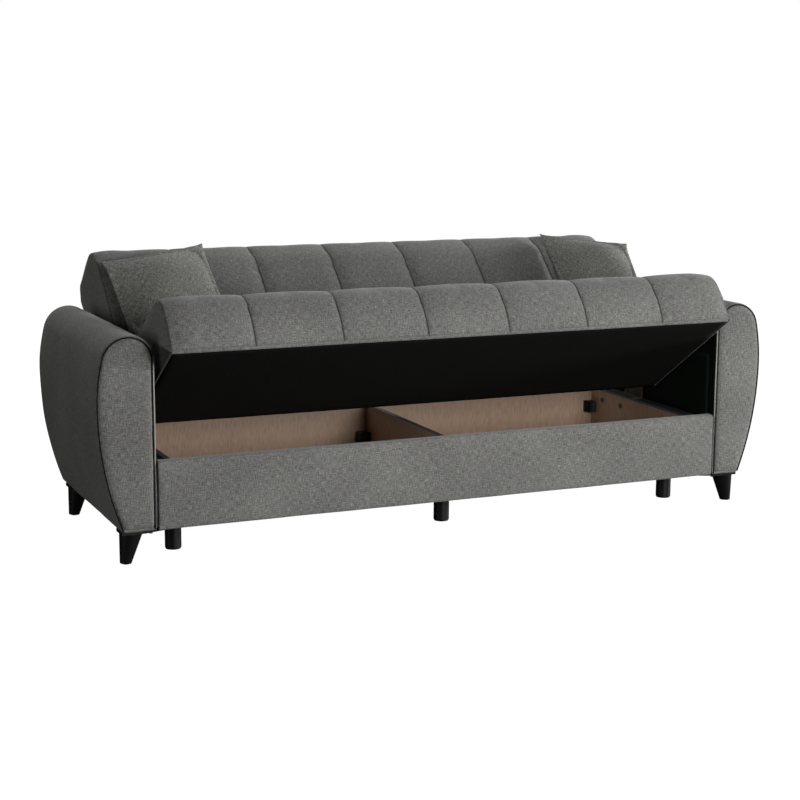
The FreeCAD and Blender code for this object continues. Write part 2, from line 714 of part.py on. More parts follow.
def back_cloth():
    """Cloth over the rear of the backrest, which flares towards its top."""
    outer = [(s, n) for s, n in back_rear_corners(0.0)]
    inner = [(s, n) for s, n in back_rear_corners(BACK_CLOTH)]
    edge = BACK_HEEL_R + PAST
    outer[0] = (outer[0][0] + edge, outer[0][1])
    inner[0] = (inner[0][0] + edge, inner[0][1])
    slope = (back_flare_n - BACK_REAR_N) / (back_shoulder_s - back_flare_s)
    outer[2] = (back_shoulder_s - edge, -back_flare_n + slope * edge)
    inner[2] = (outer[2][0], outer[2][1] + BACK_CLOTH)
    return back_slab(outer + inner[::-1], seat_half - END_ROUND)


def pillow(corners, side, rest_n):
    """Stuffed pillow: pointed corners, drawn-in sides, and a crown on each face of one flat rim."""
    spots = []
    for inwards, s, lift in corners:
        y, z = on_back(s, rest_n + lift)
        spots.append(V(side * (seat_half - inwards), y, z))
    middle = (spots[0] + spots[1] + spots[2] + spots[3]) * 0.25
    across = ((spots[1] - spots[0]) + (spots[2] - spots[3])).normalize()
    out = (spots[2] - spots[0]).cross(spots[3] - spots[1]).normalize()
    up = out.cross(across).normalize()
    local = [((p - middle).dot(across), (p - middle).dot(up)) for p in spots]
    front = out if out.y < 0 else out * -1

    def ring(share, lift, draw):
        def place(p):
            return middle + across * p.x + up * p.y + front * lift
        points = [(a * share, b * share, PILLOW_TIP_R * (3 - 2 * share)) for a, b in local]
        return outline(points, place, {i: -draw * PILLOW_DRAW for i in range(4)})

    def cap(depth):
        return Part.makeLoft([ring(a, b * depth, c) for a, b, c in PILLOW_RINGS], True, False)

    return cap(PILLOW_FRONT).fuse(cap(-PILLOW_REAR))


def seat_strip_points():
    low = seat_under_z + SEAT_STRIP_UP
    return [(pin_y, pin_z), (seat_rear_y - SEAT_STRIP_IN, low), (seat_rear_y - SEAT_STRIP_LENGTH, low)]


def back_strip_points():
    n = -BACK_REAR_N + BACK_STRIP_IN
    return [(pin_y, pin_z), on_back(BACK_STRIP_BEND_S, n), on_back(BACK_STRIP_TOP_S, n)]


def seat_bolt_spots():
    low = seat_under_z + SEAT_STRIP_UP
    return [(seat_rear_y - SEAT_STRIP_LENGTH / 2, low), (seat_rear_y - SEAT_STRIP_LENGTH, low)]


def back_bolt_spots():
    n = -BACK_REAR_N + BACK_STRIP_IN
    return [on_back(BACK_STRIP_BEND_S + ARM_STRIP, n), on_back(BACK_STRIP_TOP_S, n)]


def bolts(spots, head_x, wider):
    """Round-headed bolts along X, their heads from head_x outwards."""
    group = []
    for y, z in spots:
        shank = rod_x(head_x - BOLT_GRIP, head_x + PAST, y, z, BOLT_R + wider)
        head = rod_x(head_x, head_x + BOLT_HEAD, y, z, BOLT_HEAD_R + wider)
        group.append(shank.fuse(head).removeSplitter())
    return Part.makeCompound(group)


def seat_arm_bolts(wider=0.0):
    return bolts(seat_bolt_spots(), seat_arm_x + PLATE, wider)


def back_arm_bolts(wider=0.0):
    return bolts(back_bolt_spots(), back_arm_x + PLATE, wider)


def seat_arm():
    """Steel strip on the seat's end, with the eye for the hinge pin."""
    strip = slot_plate(seat_strip_points(), seat_arm_x, PLATE, ARM_STRIP)
    pads = [rod_x(seat_half, seat_arm_x + PAST, y, z, BOLT_HEAD_R + BOLT_BOSS) for y, z in seat_bolt_spots()]
    eye, bend = seat_strip_points()[:2]
    beside = [a + (b - a) * PAWL_EAR_REACH / math.dist(eye, bend) for a, b in zip(eye, bend)]
    ear = slot_plate([pawl_spot(), beside], seat_arm_x, PLATE, 2 * PAWL_R)
    strip = strip.fuse(pads + [ear])
    strip = strip.cut(seat_arm_bolts(PIN_CLEAR))
    strip = strip.cut(pin_hole())
    return strip.cut(pawl_pin(PIN_CLEAR)).removeSplitter()


def back_arm():
    """Steel strip on the backrest's end, its eye cut as a ratchet wheel."""
    strip = slot_plate(back_strip_points(), back_arm_x, PLATE, ARM_STRIP)
    strip = strip.fuse(ratchet_wheel())
    pads = [rod_x(seat_half, back_arm_x + PAST, y, z, BOLT_HEAD_R + BOLT_BOSS) for y, z in back_bolt_spots()]
    strip = strip.fuse(pads)
    strip = strip.cut(back_arm_bolts(PIN_CLEAR))
    return strip.cut(pin_hole()).removeSplitter()


def ratchet_wheel():
    """Saw-toothed wheel round the hinge pin."""
    points = []
    for i in range(TEETH):
        start = 2 * math.pi * i / TEETH
        for angle, radius in ((start, RATCHET_R - TOOTH_DEPTH), (start + TOOTH_LEAD, RATCHET_R)):
            points.append(V(back_arm_x, pin_y + radius * math.cos(angle), pin_z + radius * math.sin(angle)))
    return Part.Face(Part.makePolygon(points + points[:1])).extrude(V(PLATE, 0, 0))


def pin_hole():
    return rod_x(seat_half, ARM_INNER_X, pin_y, pin_z, PIN_R + PIN_CLEAR)


def pawl_spot():
    angle = math.radians(PAWL_ANGLE)
    reach = RATCHET_R + PAWL_OUT
    return pin_y + reach * math.cos(angle), pin_z + reach * math.sin(angle)


def pawl():
    """Catch beside the ratchet wheel, a running gap off its teeth."""
    y, z = pawl_spot()
    angle = math.radians(PAWL_NOSE_ANGLE)
    tip_r = RATCHET_R + PAWL_GAP + PAWL_WIDTH / 2
    nose = (pin_y + tip_r * math.cos(angle), pin_z + tip_r * math.sin(angle))
    body = slot_plate([(y, z), nose], back_arm_x, PLATE, PAWL_WIDTH)
    body = body.fuse(rod_x(back_arm_x, back_arm_x + PLATE, y, z, PAWL_R))
    return body.cut(pawl_pin(PIN_CLEAR)).removeSplitter()


def pawl_pin(wider=0.0):
    y, z = pawl_spot()
    outer = back_arm_x + PLATE
    shank = rod_x(seat_arm_x, outer + PAWL_PIN_HEAD, y, z, PAWL_PIN_R + wider)
    head = rod_x(outer, outer + PAWL_PIN_HEAD, y, z, PAWL_PIN_R + PAWL_PIN_LIP + wider)
    return shank.fuse(head).removeSplitter()


def base_bracket():
    """Steel bracket: flange bolted to the box, shelf over the ledge, upright to the hinge pin."""
    top = ledge_top_z + BRACKET_PLATE
    front = pin_y - BRACKET_AHEAD
    rear = pin_y + BRACKET_BEHIND
    drop = bar(box_outer_x, box_outer_x + BRACKET_PLATE, front, rear, top - BRACKET_DROP, top)
    shelf = bar(box_outer_x, bracket_x + PLATE, front, rear, ledge_top_z, top)
    rear_slope = math.atan2(UPRIGHT_BEHIND, pin_z - ledge_top_z)
    corners = [(front, ledge_top_z), (pin_y + UPRIGHT_BEHIND, ledge_top_z),
               (pin_y + EYE_R * math.cos(rear_slope), pin_z + EYE_R * math.sin(rear_slope)),
               (pin_y - EYE_R, pin_z)]
    points = [V(bracket_x, y, z) for y, z in corners]
    upright = Part.Face(Part.makePolygon(points + points[:1])).extrude(V(PLATE, 0, 0))
    eye = rod_x(bracket_x, bracket_x + PLATE, pin_y, pin_z, EYE_R)
    whole = drop.fuse([shelf, upright, eye]).cut(pin_hole())
    return whole.cut(bracket_bolts(PIN_CLEAR)).removeSplitter()


def bracket_bolts(wider=0.0):
    """Carriage bolts through the box's side, domed heads inside and nuts outside."""
    z = ledge_top_z + BRACKET_PLATE - BRACKET_BOLT_DROP
    group = []
    for behind in BRACKET_BOLTS_BEHIND:
        y = pin_y + behind
        shank = rod_x(box_inner_x - PAST, box_outer_x + BRACKET_PLATE + NUT + BOLT_TAIL, y, z, BOLT_R + wider)
        head = rod_x(box_inner_x - BOLT_HEAD, box_inner_x, y, z, BRACKET_BOLT_HEAD_R + wider)
        nut = rod_x(box_outer_x + BRACKET_PLATE, box_outer_x + BRACKET_PLATE + NUT, y, z,
                    BOLT_HEAD_R + wider)
        group.append(shank.fuse([head, nut]).removeSplitter())
    return Part.makeCompound(group)


def hinge_pin():
    """Riveted hinge pin, its head outside the bracket."""
    shank = rod_x(seat_half + PIN_END_GAP, pin_head_x + PIN_HEAD, pin_y, pin_z, PIN_R)
    head = rod_x(pin_head_x, pin_head_x + PIN_HEAD, pin_y, pin_z, PIN_HEAD_R)
    return shank.fuse(head).removeSplitter()


pieces = []


def keep(name, body, shape):
    pieces.append((name, body, shape))


def keep_pair(name, body, shape):
    keep(name + "_right", body, shape)
    keep(name + "_left", body, mirrored(shape))


def keep_group(name, body, shape):
    """One node for the same fasteners on both sides."""
    keep(name, body, Part.makeCompound(shape.Solids + mirrored(shape).Solids))


keep_pair("arm", "base", arm_body())
keep_pair("arm_facing", "base", arm_facing())
keep_pair("arm_piping", "base", arm_piping())
keep_pair("arm_base_board", "base", arm_board().cut(arm_leg_screws()))
keep_pair("arm_lining", "base", arm_lining())
for spot, leg_y in arm_leg_spots():
    keep_pair("arm_leg_" + spot, "base", arm_leg(leg_y))
keep_group("arm_leg_screws", "base", arm_leg_screws())
keep("front_rail_cover", "base", rail_cover())
keep("front_rail_board", "base", rail_board())
keep_pair("box_side", "base", side_board())
keep("box_divider", "base", divider())
keep("box_rear_wall", "base", rear_wall())
keep("box_edge_bands", "base", edge_bands())
keep("box_floor_right", "base", floor_board(1))
keep("box_floor_left", "base", floor_board(-1))
keep_pair("ledge", "base", ledge())
keep_group("side_beams", "base", side_beams())
keep("rear_rail", "base", rear_rail())
keep("rear_cloth", "base", rear_cloth())
keep("leg_blocks", "base", leg_blocks())
keep("corner_connectors", "base", corner_connectors())
for spot, leg_x, leg_y in box_leg_spots():
    keep("box_leg_" + spot, "base", box_leg(leg_x, leg_y))
keep_pair("hinge_bracket", "base", base_bracket())
keep_group("bracket_bolts", "base", bracket_bolts())
keep_group("hinge_pins", "base", hinge_pin())
keep("seat_pad", "seat", seat_pad())
keep("seat_frame", "seat", seat_frame())
keep("seat_straps", "seat", seat_straps())
keep("seat_underlining", "seat", seat_underlining())
keep_pair("seat_arm", "seat", seat_arm())
keep_group("seat_arm_bolts", "seat", seat_arm_bolts())
keep_pair("pawl", "seat", pawl())
keep_group("pawl_pins", "seat", pawl_pin())
keep("back_pad", "back", back_pad())
keep("back_frame", "back", back_frame())
keep("back_cloth", "back", back_cloth())
keep_pair("back_arm", "back", back_arm())
keep_group("back_arm_bolts", "back", back_arm_bolts())
keep("pillow_left", "back", pillow(PILLOW_LEFT, -1, back_crest_n + PILLOW_REAR - PILLOW_SINK))
keep("pillow_right", "back", pillow(PILLOW_RIGHT, 1, back_crest_n + PILLOW_RIM_CLEAR))

# The origin is on the floor, under the middle of the sofa's depth as it stands tipped up
front_reach = tipped(seat_front_y, seat_under_z)[0]
rear_reach = tipped(*on_back(back_peak_s, -back_peak_n))[0]
origin_y = (front_reach + rear_reach) / 2

os.makedirs("parts", exist_ok=True)
for name, body, shape in pieces:
    solid = shape.copy()
    if body != "base":
        solid.rotate(V(0, pin_y, pin_z), V(-1, 0, 0), TIP_DEG)
    solid.translate(V(0, -origin_y, 0))
    solid.exportStep("parts/" + name + ".step")
    size = solid.BoundBox
    print(f"{name:22s} {body:5s} solids {len(solid.Solids):2d} volume {solid.Volume / 1e6:8.3f} l "
          f"x {size.XMin:7.1f} {size.XMax:7.1f} y {size.YMin:7.1f} {size.YMax:7.1f} "
          f"z {size.ZMin:6.1f} {size.ZMax:6.1f} {'closed' if solid.isValid() else 'NOT VALID'}")
print(len(pieces), "nodes; hinge pin at y", round(pin_y - origin_y, 3), "z", round(pin_z, 3),
      "; origin is", round(origin_y, 3), "behind the front of the arms")
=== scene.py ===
# %% [markdown]
# # A storage sofa, tipped open
#
# The sofa stands the way it is used to reach the bedding box: seat and backrest are tipped up together on
# their click-clack hinges. The construction model gives every hard piece at its place and size, and this
# lesson dresses it: the upholstery is modelled as cloth over filling, and each hard piece gets its finish.

# %% Load the construction model
import json
import math

import bmesh
import bpy
from mathutils import Matrix, Vector, noise


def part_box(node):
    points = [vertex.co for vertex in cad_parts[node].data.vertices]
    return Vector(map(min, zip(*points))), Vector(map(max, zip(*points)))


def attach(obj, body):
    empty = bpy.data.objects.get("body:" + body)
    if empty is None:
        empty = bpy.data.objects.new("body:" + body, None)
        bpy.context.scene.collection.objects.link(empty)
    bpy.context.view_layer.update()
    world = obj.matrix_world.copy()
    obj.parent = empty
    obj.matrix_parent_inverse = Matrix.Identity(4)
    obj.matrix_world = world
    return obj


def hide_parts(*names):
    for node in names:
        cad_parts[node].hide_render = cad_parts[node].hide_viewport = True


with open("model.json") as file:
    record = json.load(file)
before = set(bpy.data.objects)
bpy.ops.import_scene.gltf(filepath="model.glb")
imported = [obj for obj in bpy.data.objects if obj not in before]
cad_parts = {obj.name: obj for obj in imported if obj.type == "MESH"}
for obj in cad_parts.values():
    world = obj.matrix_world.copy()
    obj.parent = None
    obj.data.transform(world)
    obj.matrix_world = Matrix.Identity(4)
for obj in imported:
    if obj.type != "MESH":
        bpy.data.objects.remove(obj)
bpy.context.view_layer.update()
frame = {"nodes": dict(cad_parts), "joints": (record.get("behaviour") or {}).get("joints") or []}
nodes = frame["nodes"]

# %% [markdown]
# Everything soft is drawn with the sofa closed, where its faces are square to the axes, and is then turned
# about the hinge pin by the angle that the seat is lifted. Sizes are in millimetres and become metres where
# a shape is made.

# %% Places that the construction model gives
MM = 0.001
X, Y, Z = Vector((1, 0, 0)), Vector((0, 1, 0)), Vector((0, 0, 1))
seat_joint = frame["joints"][0]
hinge = Vector(seat_joint["pos_m"])
lift_angle = math.radians(-seat_joint["range_deg"][0])
tip_up = Matrix.Translation(hinge) @ Matrix.Rotation(lift_angle, 4, (-1, 0, 0)) @ Matrix.Translation(-hinge)
front_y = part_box("arm_facing_left")[0].y
rear_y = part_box("arm_left")[1].y
pad_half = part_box("seat_pad")[1].x
HANDS = (-1, "left"), (1, "right")
print("hinge", [round(v, 4) for v in hinge], "lifted", round(math.degrees(lift_angle), 1), "degrees")

# %% [markdown]
# ## Drawing outlines
#
# A padded piece starts as the outline of its section. Two helpers draw a wire in a bmesh: one extrudes a
# vertex along a straight run in even cells, the other spins it round the centre of an arc. Cloth needs cells
# of even size, so both take their number of steps from one cell length. The wire is then swept.

# %% Straight runs and arcs
MERGE = 0.01 * MM
SHARP = 4 * MM


def clamped(value):
    return min(1.0, max(0.0, value))


def verts_of(geometry):
    return [g for g in geometry if isinstance(g, bmesh.types.BMVert)]


def run_to(bm, vert, end, cell, bow=Vector()):
    """Extrudes a wire from vert to the point end, in even cells, bowed by that vector in its middle."""
    start = vert.co.copy()
    count = max(1, round((end - start).length / cell))
    for i in range(1, count + 1):
        vert = bmesh.ops.extrude_vert_indiv(bm, verts=[vert])["verts"][0]
        share = i / count
        vert.co = start.lerp(end, share) + bow * (4 * share * (1 - share))
    return vert


def arc_round(bm, vert, centre, axis, angle, cell):
    """Spins a wire from vert round centre. Returns the last vertex."""
    radius = (vert.co - centre).length
    count = max(2, round(abs(angle) * radius / cell))
    spun = bmesh.ops.spin(bm, geom=[vert], cent=centre, axis=axis, angle=angle, steps=count)
    return verts_of(spun["geom_last"])[0]


def rounded_loop(bm, corners, place, cell, bows=()):
    """Closed wire with round corners. corners are (a, b, radius) in metres, and place(point) puts them.
    bows are (corner number, height): the side that leads to that corner swells outwards by the height."""
    origin = place(Vector((0, 0)))
    axis = (place(Vector((1, 0))) - origin).cross(place(Vector((0, 1))) - origin)
    count = len(corners)
    points = [Vector((a, b)) for a, b, _ in corners]
    vert = None
    for i in range(count):
        radius = corners[i][2]
        back_way = (points[i - 1] - points[i]).normalized()
        on_way = (points[(i + 1) % count] - points[i]).normalized()
        half = back_way.angle(on_way) / 2
        arrive = place(points[i] + back_way * (radius / math.tan(half)))
        centre = place(points[i] + (back_way + on_way).normalized() * (radius / math.sin(half)))
        swell = dict(bows).get(i, 0.0) * axis.cross(centre - arrive).cross(axis).normalized()
        if vert is None:
            vert = first = bm.verts.new(arrive)
            last_swell = -swell
        else:
            vert = run_to(bm, vert, arrive, cell, -swell)
        turn = math.copysign(math.pi - 2 * half, on_way.cross(back_way))
        vert = arc_round(bm, vert, centre, axis, turn, min(cell, max(radius, SHARP) / 2))
    run_to(bm, vert, first.co.copy(), cell, last_swell)
    bmesh.ops.remove_doubles(bm, verts=bm.verts[:], dist=MERGE)

# %% A section and its sweep
def cloth_mesh():
    """bmesh whose vertices store how far along the section they lie, how much painted seam shade and
    tucked-edge black they take, and if sewn.
    """
    bm = bmesh.new()
    for layer in ("along", "seam_shade_and_tuck", "held"):
        bm.verts.layers.float.new(layer)
    return bm


def measure_round(bm):
    """Stores on each vertex of the closed wire how far it lies along it, from its lowest vertex on."""
    along = bm.verts.layers.float["along"]
    start = min(bm.verts, key=lambda v: v.co.z)
    start[along] = 0.0
    previous, vert, total = None, start, 0.0
    while True:
        onward = next(e.other_vert(vert) for e in vert.link_edges if e.other_vert(vert) is not previous)
        if onward is start:
            return
        total += (onward.co - vert.co).length
        onward[along] = total
        previous, vert = vert, onward


def extruded(bm, edges):
    """Extrudes the edges on the spot. Returns the new vertices and the new edges between them."""
    made = bmesh.ops.extrude_edge_only(bm, edges=edges)["geom"]
    verts = verts_of(made)
    fresh = set(verts)
    return verts, [g for g in made if isinstance(g, bmesh.types.BMEdge) and fresh.issuperset(g.verts)]


def sweep(bm, steps):
    """Extrudes the whole wire through the list of moves, which are matrices, one row of faces to each."""
    edges = bm.edges[:]
    for step in steps:
        verts, edges = extruded(bm, edges)
        bmesh.ops.transform(bm, matrix=step, verts=verts)


def moves_between(stations, direction):
    return [Matrix.Translation(direction * (b - a)) for a, b in zip(stations, stations[1:])]

# %% [markdown]
# ## The weave's coordinates
#
# Cloth is woven along two directions, and its threads follow the surface round every bend. So each cloth
# piece carries a map called weave, in metres: one way along the sweep, the other along the section's own
# length. A flat panel is mapped straight on to its plane.

# %% Map the weave
FLAT_ON = 0.6


def map_weave(bm, across, side, up):
    """UV map in metres. Faces whose normal lies near across are mapped flat along side and up, the others
    by the wire."""
    along = bm.verts.layers.float["along"]
    layer = bm.loops.layers.uv.new("weave")
    whole = max(v[along] for v in bm.verts)
    bm.normal_update()
    for face in bm.faces:
        runs = [l.vert[along] for l in face.loops]
        wraps = max(runs) - min(runs) > whole / 2
        for loop in face.loops:
            co = loop.vert.co
            if abs(face.normal.dot(across)) > FLAT_ON:
                loop[layer].uv = (co.dot(side), co.dot(up))
            else:
                run = loop.vert[along]
                if wraps and run < whole / 2:
                    run += whole
                loop[layer].uv = (co.dot(across), run)


def map_flat(bm, spot):
    """UV map in metres from spot(vertex)."""
    layer = bm.loops.layers.uv.new("weave")
    for face in bm.faces:
        for loop in face.loops:
            loop[layer].uv = spot(loop.vert)


def settle(bm, name, *materials, matrix=None):
    """Makes the bmesh an object of that name at the origin, with its materials."""
    bmesh.ops.recalc_face_normals(bm, faces=bm.faces[:])
    if matrix:
        bmesh.ops.transform(bm, matrix=matrix, verts=bm.verts[:])
    mesh = bpy.data.meshes.new(name)
    for face in bm.faces:
        face.smooth = True
    bm.to_mesh(mesh)
    bm.free()
    for material in materials:
        mesh.materials.append(material)
    piece = bpy.data.objects.new(name, mesh)
    bpy.context.scene.collection.objects.link(piece)
    print(name, len(mesh.polygons), "faces")
    return piece

# %% [markdown]
# ## Closing the ends
#
# A swept cover is open at both ends. Rings of cloth run from the rim to a short line in its middle, the
# spine, and each ring has its own height, so that the end panel swells or turns in as the real one does. The
# other helpers finish a piece: they round it, give a sheet its thickness, unsettle stuffed cloth a little,
# and attach it to its body in place of the construction piece, which they hide.

# %% Closing and finishing a piece
SPINE_WELD, RIM_NEAR = 0.2 * MM, 4 * MM


def nearest_on(a, b, p):
    """Point of the line from a to b that is nearest to p."""
    return a.lerp(b, clamped((p - a).dot(b - a) / (b - a).length_squared))


def close_in(bm, rim, spine, rows, out):
    """Closes an open end with rings that run from its rim to a spine line, and welds them there.
    rows are (share of the way, height along out)."""
    edges = rim
    homes = {v: v.co.copy() for e in rim for v in e.verts}
    for share, rise in rows:
        fresh, edges = extruded(bm, edges)
        last_homes, homes = homes, {}
        for v in fresh:
            home = next(last_homes[e.other_vert(v)] for e in v.link_edges if e.other_vert(v) in last_homes)
            v.co = home.lerp(nearest_on(*spine, home), share) + out * rise
            homes[v] = home
    bmesh.ops.remove_doubles(bm, verts=list(homes), dist=SPINE_WELD)


def open_rim(bm, axis, place):
    """Edges of the open end that lies at that place, along x for axis 0 and along y for axis 1."""
    return [e for e in bm.edges if e.is_boundary and abs(e.verts[0].co[axis] - place) < RIM_NEAR]


def refine(piece):
    smooth = piece.modifiers.new("smooth", "SUBSURF")
    smooth.levels = smooth.render_levels = 1
    return piece


def thicken(piece, thickness):
    thick = piece.modifiers.new("thick", "SOLIDIFY")
    thick.thickness = thickness
    thick.offset = 0


def ruffle(bm, depth, size):
    """Small unevenness of stuffed cloth, the same on every run."""
    bm.normal_update()
    for v in bm.verts:
        v.co += v.normal * depth * noise.noise(v.co / size)


def dress(piece, node, body="base"):
    """Attaches the piece to its body and hides the construction piece that it stands for."""
    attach(piece, body)
    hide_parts(node)

# %% [markdown]
# ## Filling a cover
#
# A cushion gets its look from cloth that is blown up from inside and held at its seams. The helper gives a
# piece Blender's cloth with air pressure and no gravity, steps it for twenty frames, and keeps the result,
# with a limit on how far any point may go. Vertices in the held group are sewn and don't move.

# %% Inflate a cover
SIM_FRAMES = 20


def inflate(piece, held, pressure, limit, slack, stiffness=15.0):
    """Blows the piece up. slack is the share of spare cloth, and no vertex moves further than the limit."""
    scene = bpy.context.scene
    group = piece.vertex_groups.new(name="held")
    group.add(held, 1.0, "REPLACE")
    cloth = piece.modifiers.new("cloth", "CLOTH")
    rules = cloth.settings
    rules.vertex_group_mass = "held"
    rules.quality = 4
    rules.tension_stiffness = rules.compression_stiffness = stiffness
    rules.bending_stiffness = 0.3
    rules.use_pressure = True
    rules.uniform_pressure_force = pressure
    rules.shrink_min = -slack
    rules.effector_weights.gravity = 0.0
    cloth.point_cache.frame_start = 1
    cloth.point_cache.frame_end = SIM_FRAMES
    for step in range(1, SIM_FRAMES + 1):
        scene.frame_set(step)
    done = piece.evaluated_get(bpy.context.evaluated_depsgraph_get())
    moved = [v.co.copy() for v in done.data.vertices]
    piece.modifiers.remove(cloth)
    piece.vertex_groups.clear()
    scene.frame_set(1)
    for vert, end in zip(piece.data.vertices, moved):
        way = end - vert.co
        if way.length > limit:
            way *= limit / way.length
        vert.co += way
    piece.data.update()
    print(piece.name, "filled")

# %% [markdown]
# ## Colours and nodes
#
# Colours are read off as sRGB hex values and turned to the linear values that the shader works in. One
# small function adds a node with its settings and links, so that a finish reads as a short list. Two more
# make what most finishes share: grains of a real size, and the colour and relief that come of them.

# %% Colour and node helpers
def linear(hex_value):
    """sRGB hex, such as 7a7a76, as linear RGBA."""
    parts = [int(hex_value[i:i + 2], 16) / 255 for i in (0, 2, 4)]
    return tuple(c / 12.92 if c <= 0.04045 else ((c + 0.055) / 1.055) ** 2.4 for c in parts) + (1.0,)


def add_node(tree, kind, output, inputs=None, stops=(), **settings):
    """Adds a ShaderNode of that kind and returns its output of that name or number. inputs maps a socket's
    name or number to a value or to another node's output, and stops are a colour ramp's (position, hex)."""
    node = tree.nodes.new("ShaderNode" + kind)
    for key, value in settings.items():
        setattr(node, key, value)
    for key, value in (inputs or {}).items():
        if isinstance(value, bpy.types.NodeSocket):
            tree.links.new(value, node.inputs[key])
        else:
            node.inputs[key].default_value = value
    if stops:
        elements = node.color_ramp.elements
        while len(elements) < len(stops):
            elements.new(0.5)
        for element, (position, colour) in zip(elements, stops):
            element.position = position
            element.color = linear(colour)
    return node.outputs[output]


def new_finish(name, roughness, metallic=0.0, **shader):
    """Material with its Principled shader's fixed values set on the shader's own sockets."""
    finish = bpy.data.materials.new(name)
    finish.use_nodes = True
    tree = finish.node_tree
    principled = tree.nodes["Principled BSDF"]
    principled.inputs["Roughness"].default_value = roughness
    principled.inputs["Metallic"].default_value = metallic
    for key, value in shader.items():
        principled.inputs[key.replace("_", " ")].default_value = value
    return finish, tree, principled


def grains(tree, place, sizes, detail=2.0):
    """Noise whose grains have these sizes in metres along the axes of place."""
    scaled = add_node(tree, "VectorMath", 0, {0: place, 1: [1 / s for s in sizes]}, operation="MULTIPLY")
    return add_node(tree, "TexNoise", "Fac", {"Vector": scaled, "Scale": 1.0, "Detail": detail,
                                              "Roughness": 0.5})


def face_with(tree, shader, colour, height=None, depth=0.0):
    """Gives the shader its colour and, with a depth in metres, a relief."""
    tree.links.new(colour, shader.inputs["Base Color"])
    if depth:
        relief = add_node(tree, "Bump", "Normal", {"Height": height, "Strength": 0.6, "Distance": depth})
        tree.links.new(relief, shader.inputs["Normal"])


def mottled(name, dark, light, grain, roughness, depth=0.0, metallic=0.0, weave=False, **shader_values):
    """Plain stuff whose own grain, three sizes in metres, mottles the colour from dark to light and, with a
    depth, roughens the surface. It lies along the weave map or the object's axes."""
    finish, tree, shader = new_finish(name, roughness, metallic, **shader_values)
    place = add_node(tree, "UVMap", "UV", uv_map="weave") if weave else add_node(tree, "TexCoord", "Object")
    pits = grains(tree, place, grain)
    colour = add_node(tree, "ValToRGB", "Color", {"Fac": pits}, [(0.3, dark), (0.7, light)])
    face_with(tree, shader, colour, pits, depth)
    return finish

# %% [markdown]
# ## Upholstery cloth
#
# The cover is a polyester cloth woven to look like linen: grey warp and weft of uneven thickness, with
# darker and lighter threads that run for a few centimetres. The real threads are under a millimetre wide,
# too fine to show at this distance, so the slubs are drawn 2.2 mm wide and 18 mm long, which gives the
# same heathered look. The pillows have the same cloth with more speckle, drawn lighter as painted light.
# Painted shade darkens the cloth along each seam and hem, where the crease holds shadow, and the seat's
# turned-under end edges take the underlining's black: each cloth piece stores both in a vertex attribute.

# %% Woven linen look
THREAD = 2.2 * MM
SLUB = 18 * MM
HEATHER = 2.6 * MM
CLOUD = 260 * MM
HEATHER_SHARE, CLOUD_SHARE = 0.3, 0.1
WEAVE_DEPTH = 1.2 * MM


def woven(name, stops, shade_and_tuck_tone):
    """Cloth of uneven warp and weft, with lighter and darker fibres and a faint cloudiness."""
    finish, tree, shader = new_finish(name, 0.92, Specular_IOR_Level=0.25, Sheen_Weight=0.25,
                                      Sheen_Roughness=0.5)
    weave = add_node(tree, "UVMap", "UV", uv_map="weave")
    warp = grains(tree, weave, (THREAD, SLUB, 1))
    weft = grains(tree, weave, (SLUB, THREAD, 1))
    heather = grains(tree, weave, (HEATHER, HEATHER, 1), detail=1.0)
    cloud = grains(tree, weave, (CLOUD, CLOUD, 1), detail=1.0)
    threads = add_node(tree, "Mix", "Result", {"Factor": 0.5, "A": warp, "B": weft})
    surface = add_node(tree, "Mix", "Result", {"Factor": HEATHER_SHARE, "A": threads, "B": heather})
    toned = add_node(tree, "Mix", "Result", {"Factor": CLOUD_SHARE, "A": surface, "B": cloud})
    cloth = add_node(tree, "ValToRGB", "Color", {"Fac": toned}, stops)
    # painted shade in the seams and hems, and the black of the seat's turned-under edges, mixed in by the
    # vertex attribute
    seam_shade_and_tuck = add_node(tree, "Attribute", "Fac", attribute_name="seam_shade_and_tuck")
    # a Mix node keeps sockets for every data type, and its colour ones are inputs 6 and 7 and output 2
    colour = add_node(tree, "Mix", 2, {0: seam_shade_and_tuck, 6: cloth, 7: linear(shade_and_tuck_tone)}, data_type="RGBA")
    face_with(tree, shader, colour, surface, WEAVE_DEPTH)
    return finish


sofa_cloth = woven("grey_linen_look", [(0.36, "41413f"), (0.46, "646461"), (0.54, "7c7c79"),
                                       (0.64, "a0a09b")], "1c1c1b")
# the cover's own cloth with more speckle, its tones drawn lighter than the cover's as painted light
pillow_cloth_lightened = woven("pillow_linen_look_lightened", [(0.38, "343432"), (0.465, "6b6b66"), (0.535, "8b8b85"),
                                           (0.62, "c2c2ba")], "161615")

# %% [markdown]
# ## The two channelled cushions
#
# Seat and backrest are foam in a cover with six seams across, which draw it into seven channels. Each is a
# swept section. Its stations crowd together at the seams, so that the crease stays narrow, and between
# seams the cover stands out in a crown that is steep at first and flat in the middle. At each end the
# section draws in over a short round, up to the sewn edge of the end panel.

# %% Stations and fullness along a channelled cushion
CHANNELS = 7
CROWN = 6 * MM
CELL = 13 * MM
END_DRAW = 12 * MM
END_DIP, END_DIP_WIDE = 8 * MM, 80 * MM
CREASE = (1.6 * MM, 4.5 * MM, 9 * MM, 16 * MM)
AT_GUSSET, AT_END = (0.0, 2 * MM, 6 * MM, 12 * MM), (0.6 * MM, 2 * MM)
GUSSET = 4 * MM
TUCK, TUCK_WIDE = 1.2 * MM, 2.5 * MM
END_ROWS = [(0.07, 1.0 * MM), (0.2, 1.9 * MM), (0.5, 2.6 * MM), (1.0, 2.8 * MM)]


def seam_places(width):
    return [(i - CHANNELS / 2) * width for i in range(1, CHANNELS)]


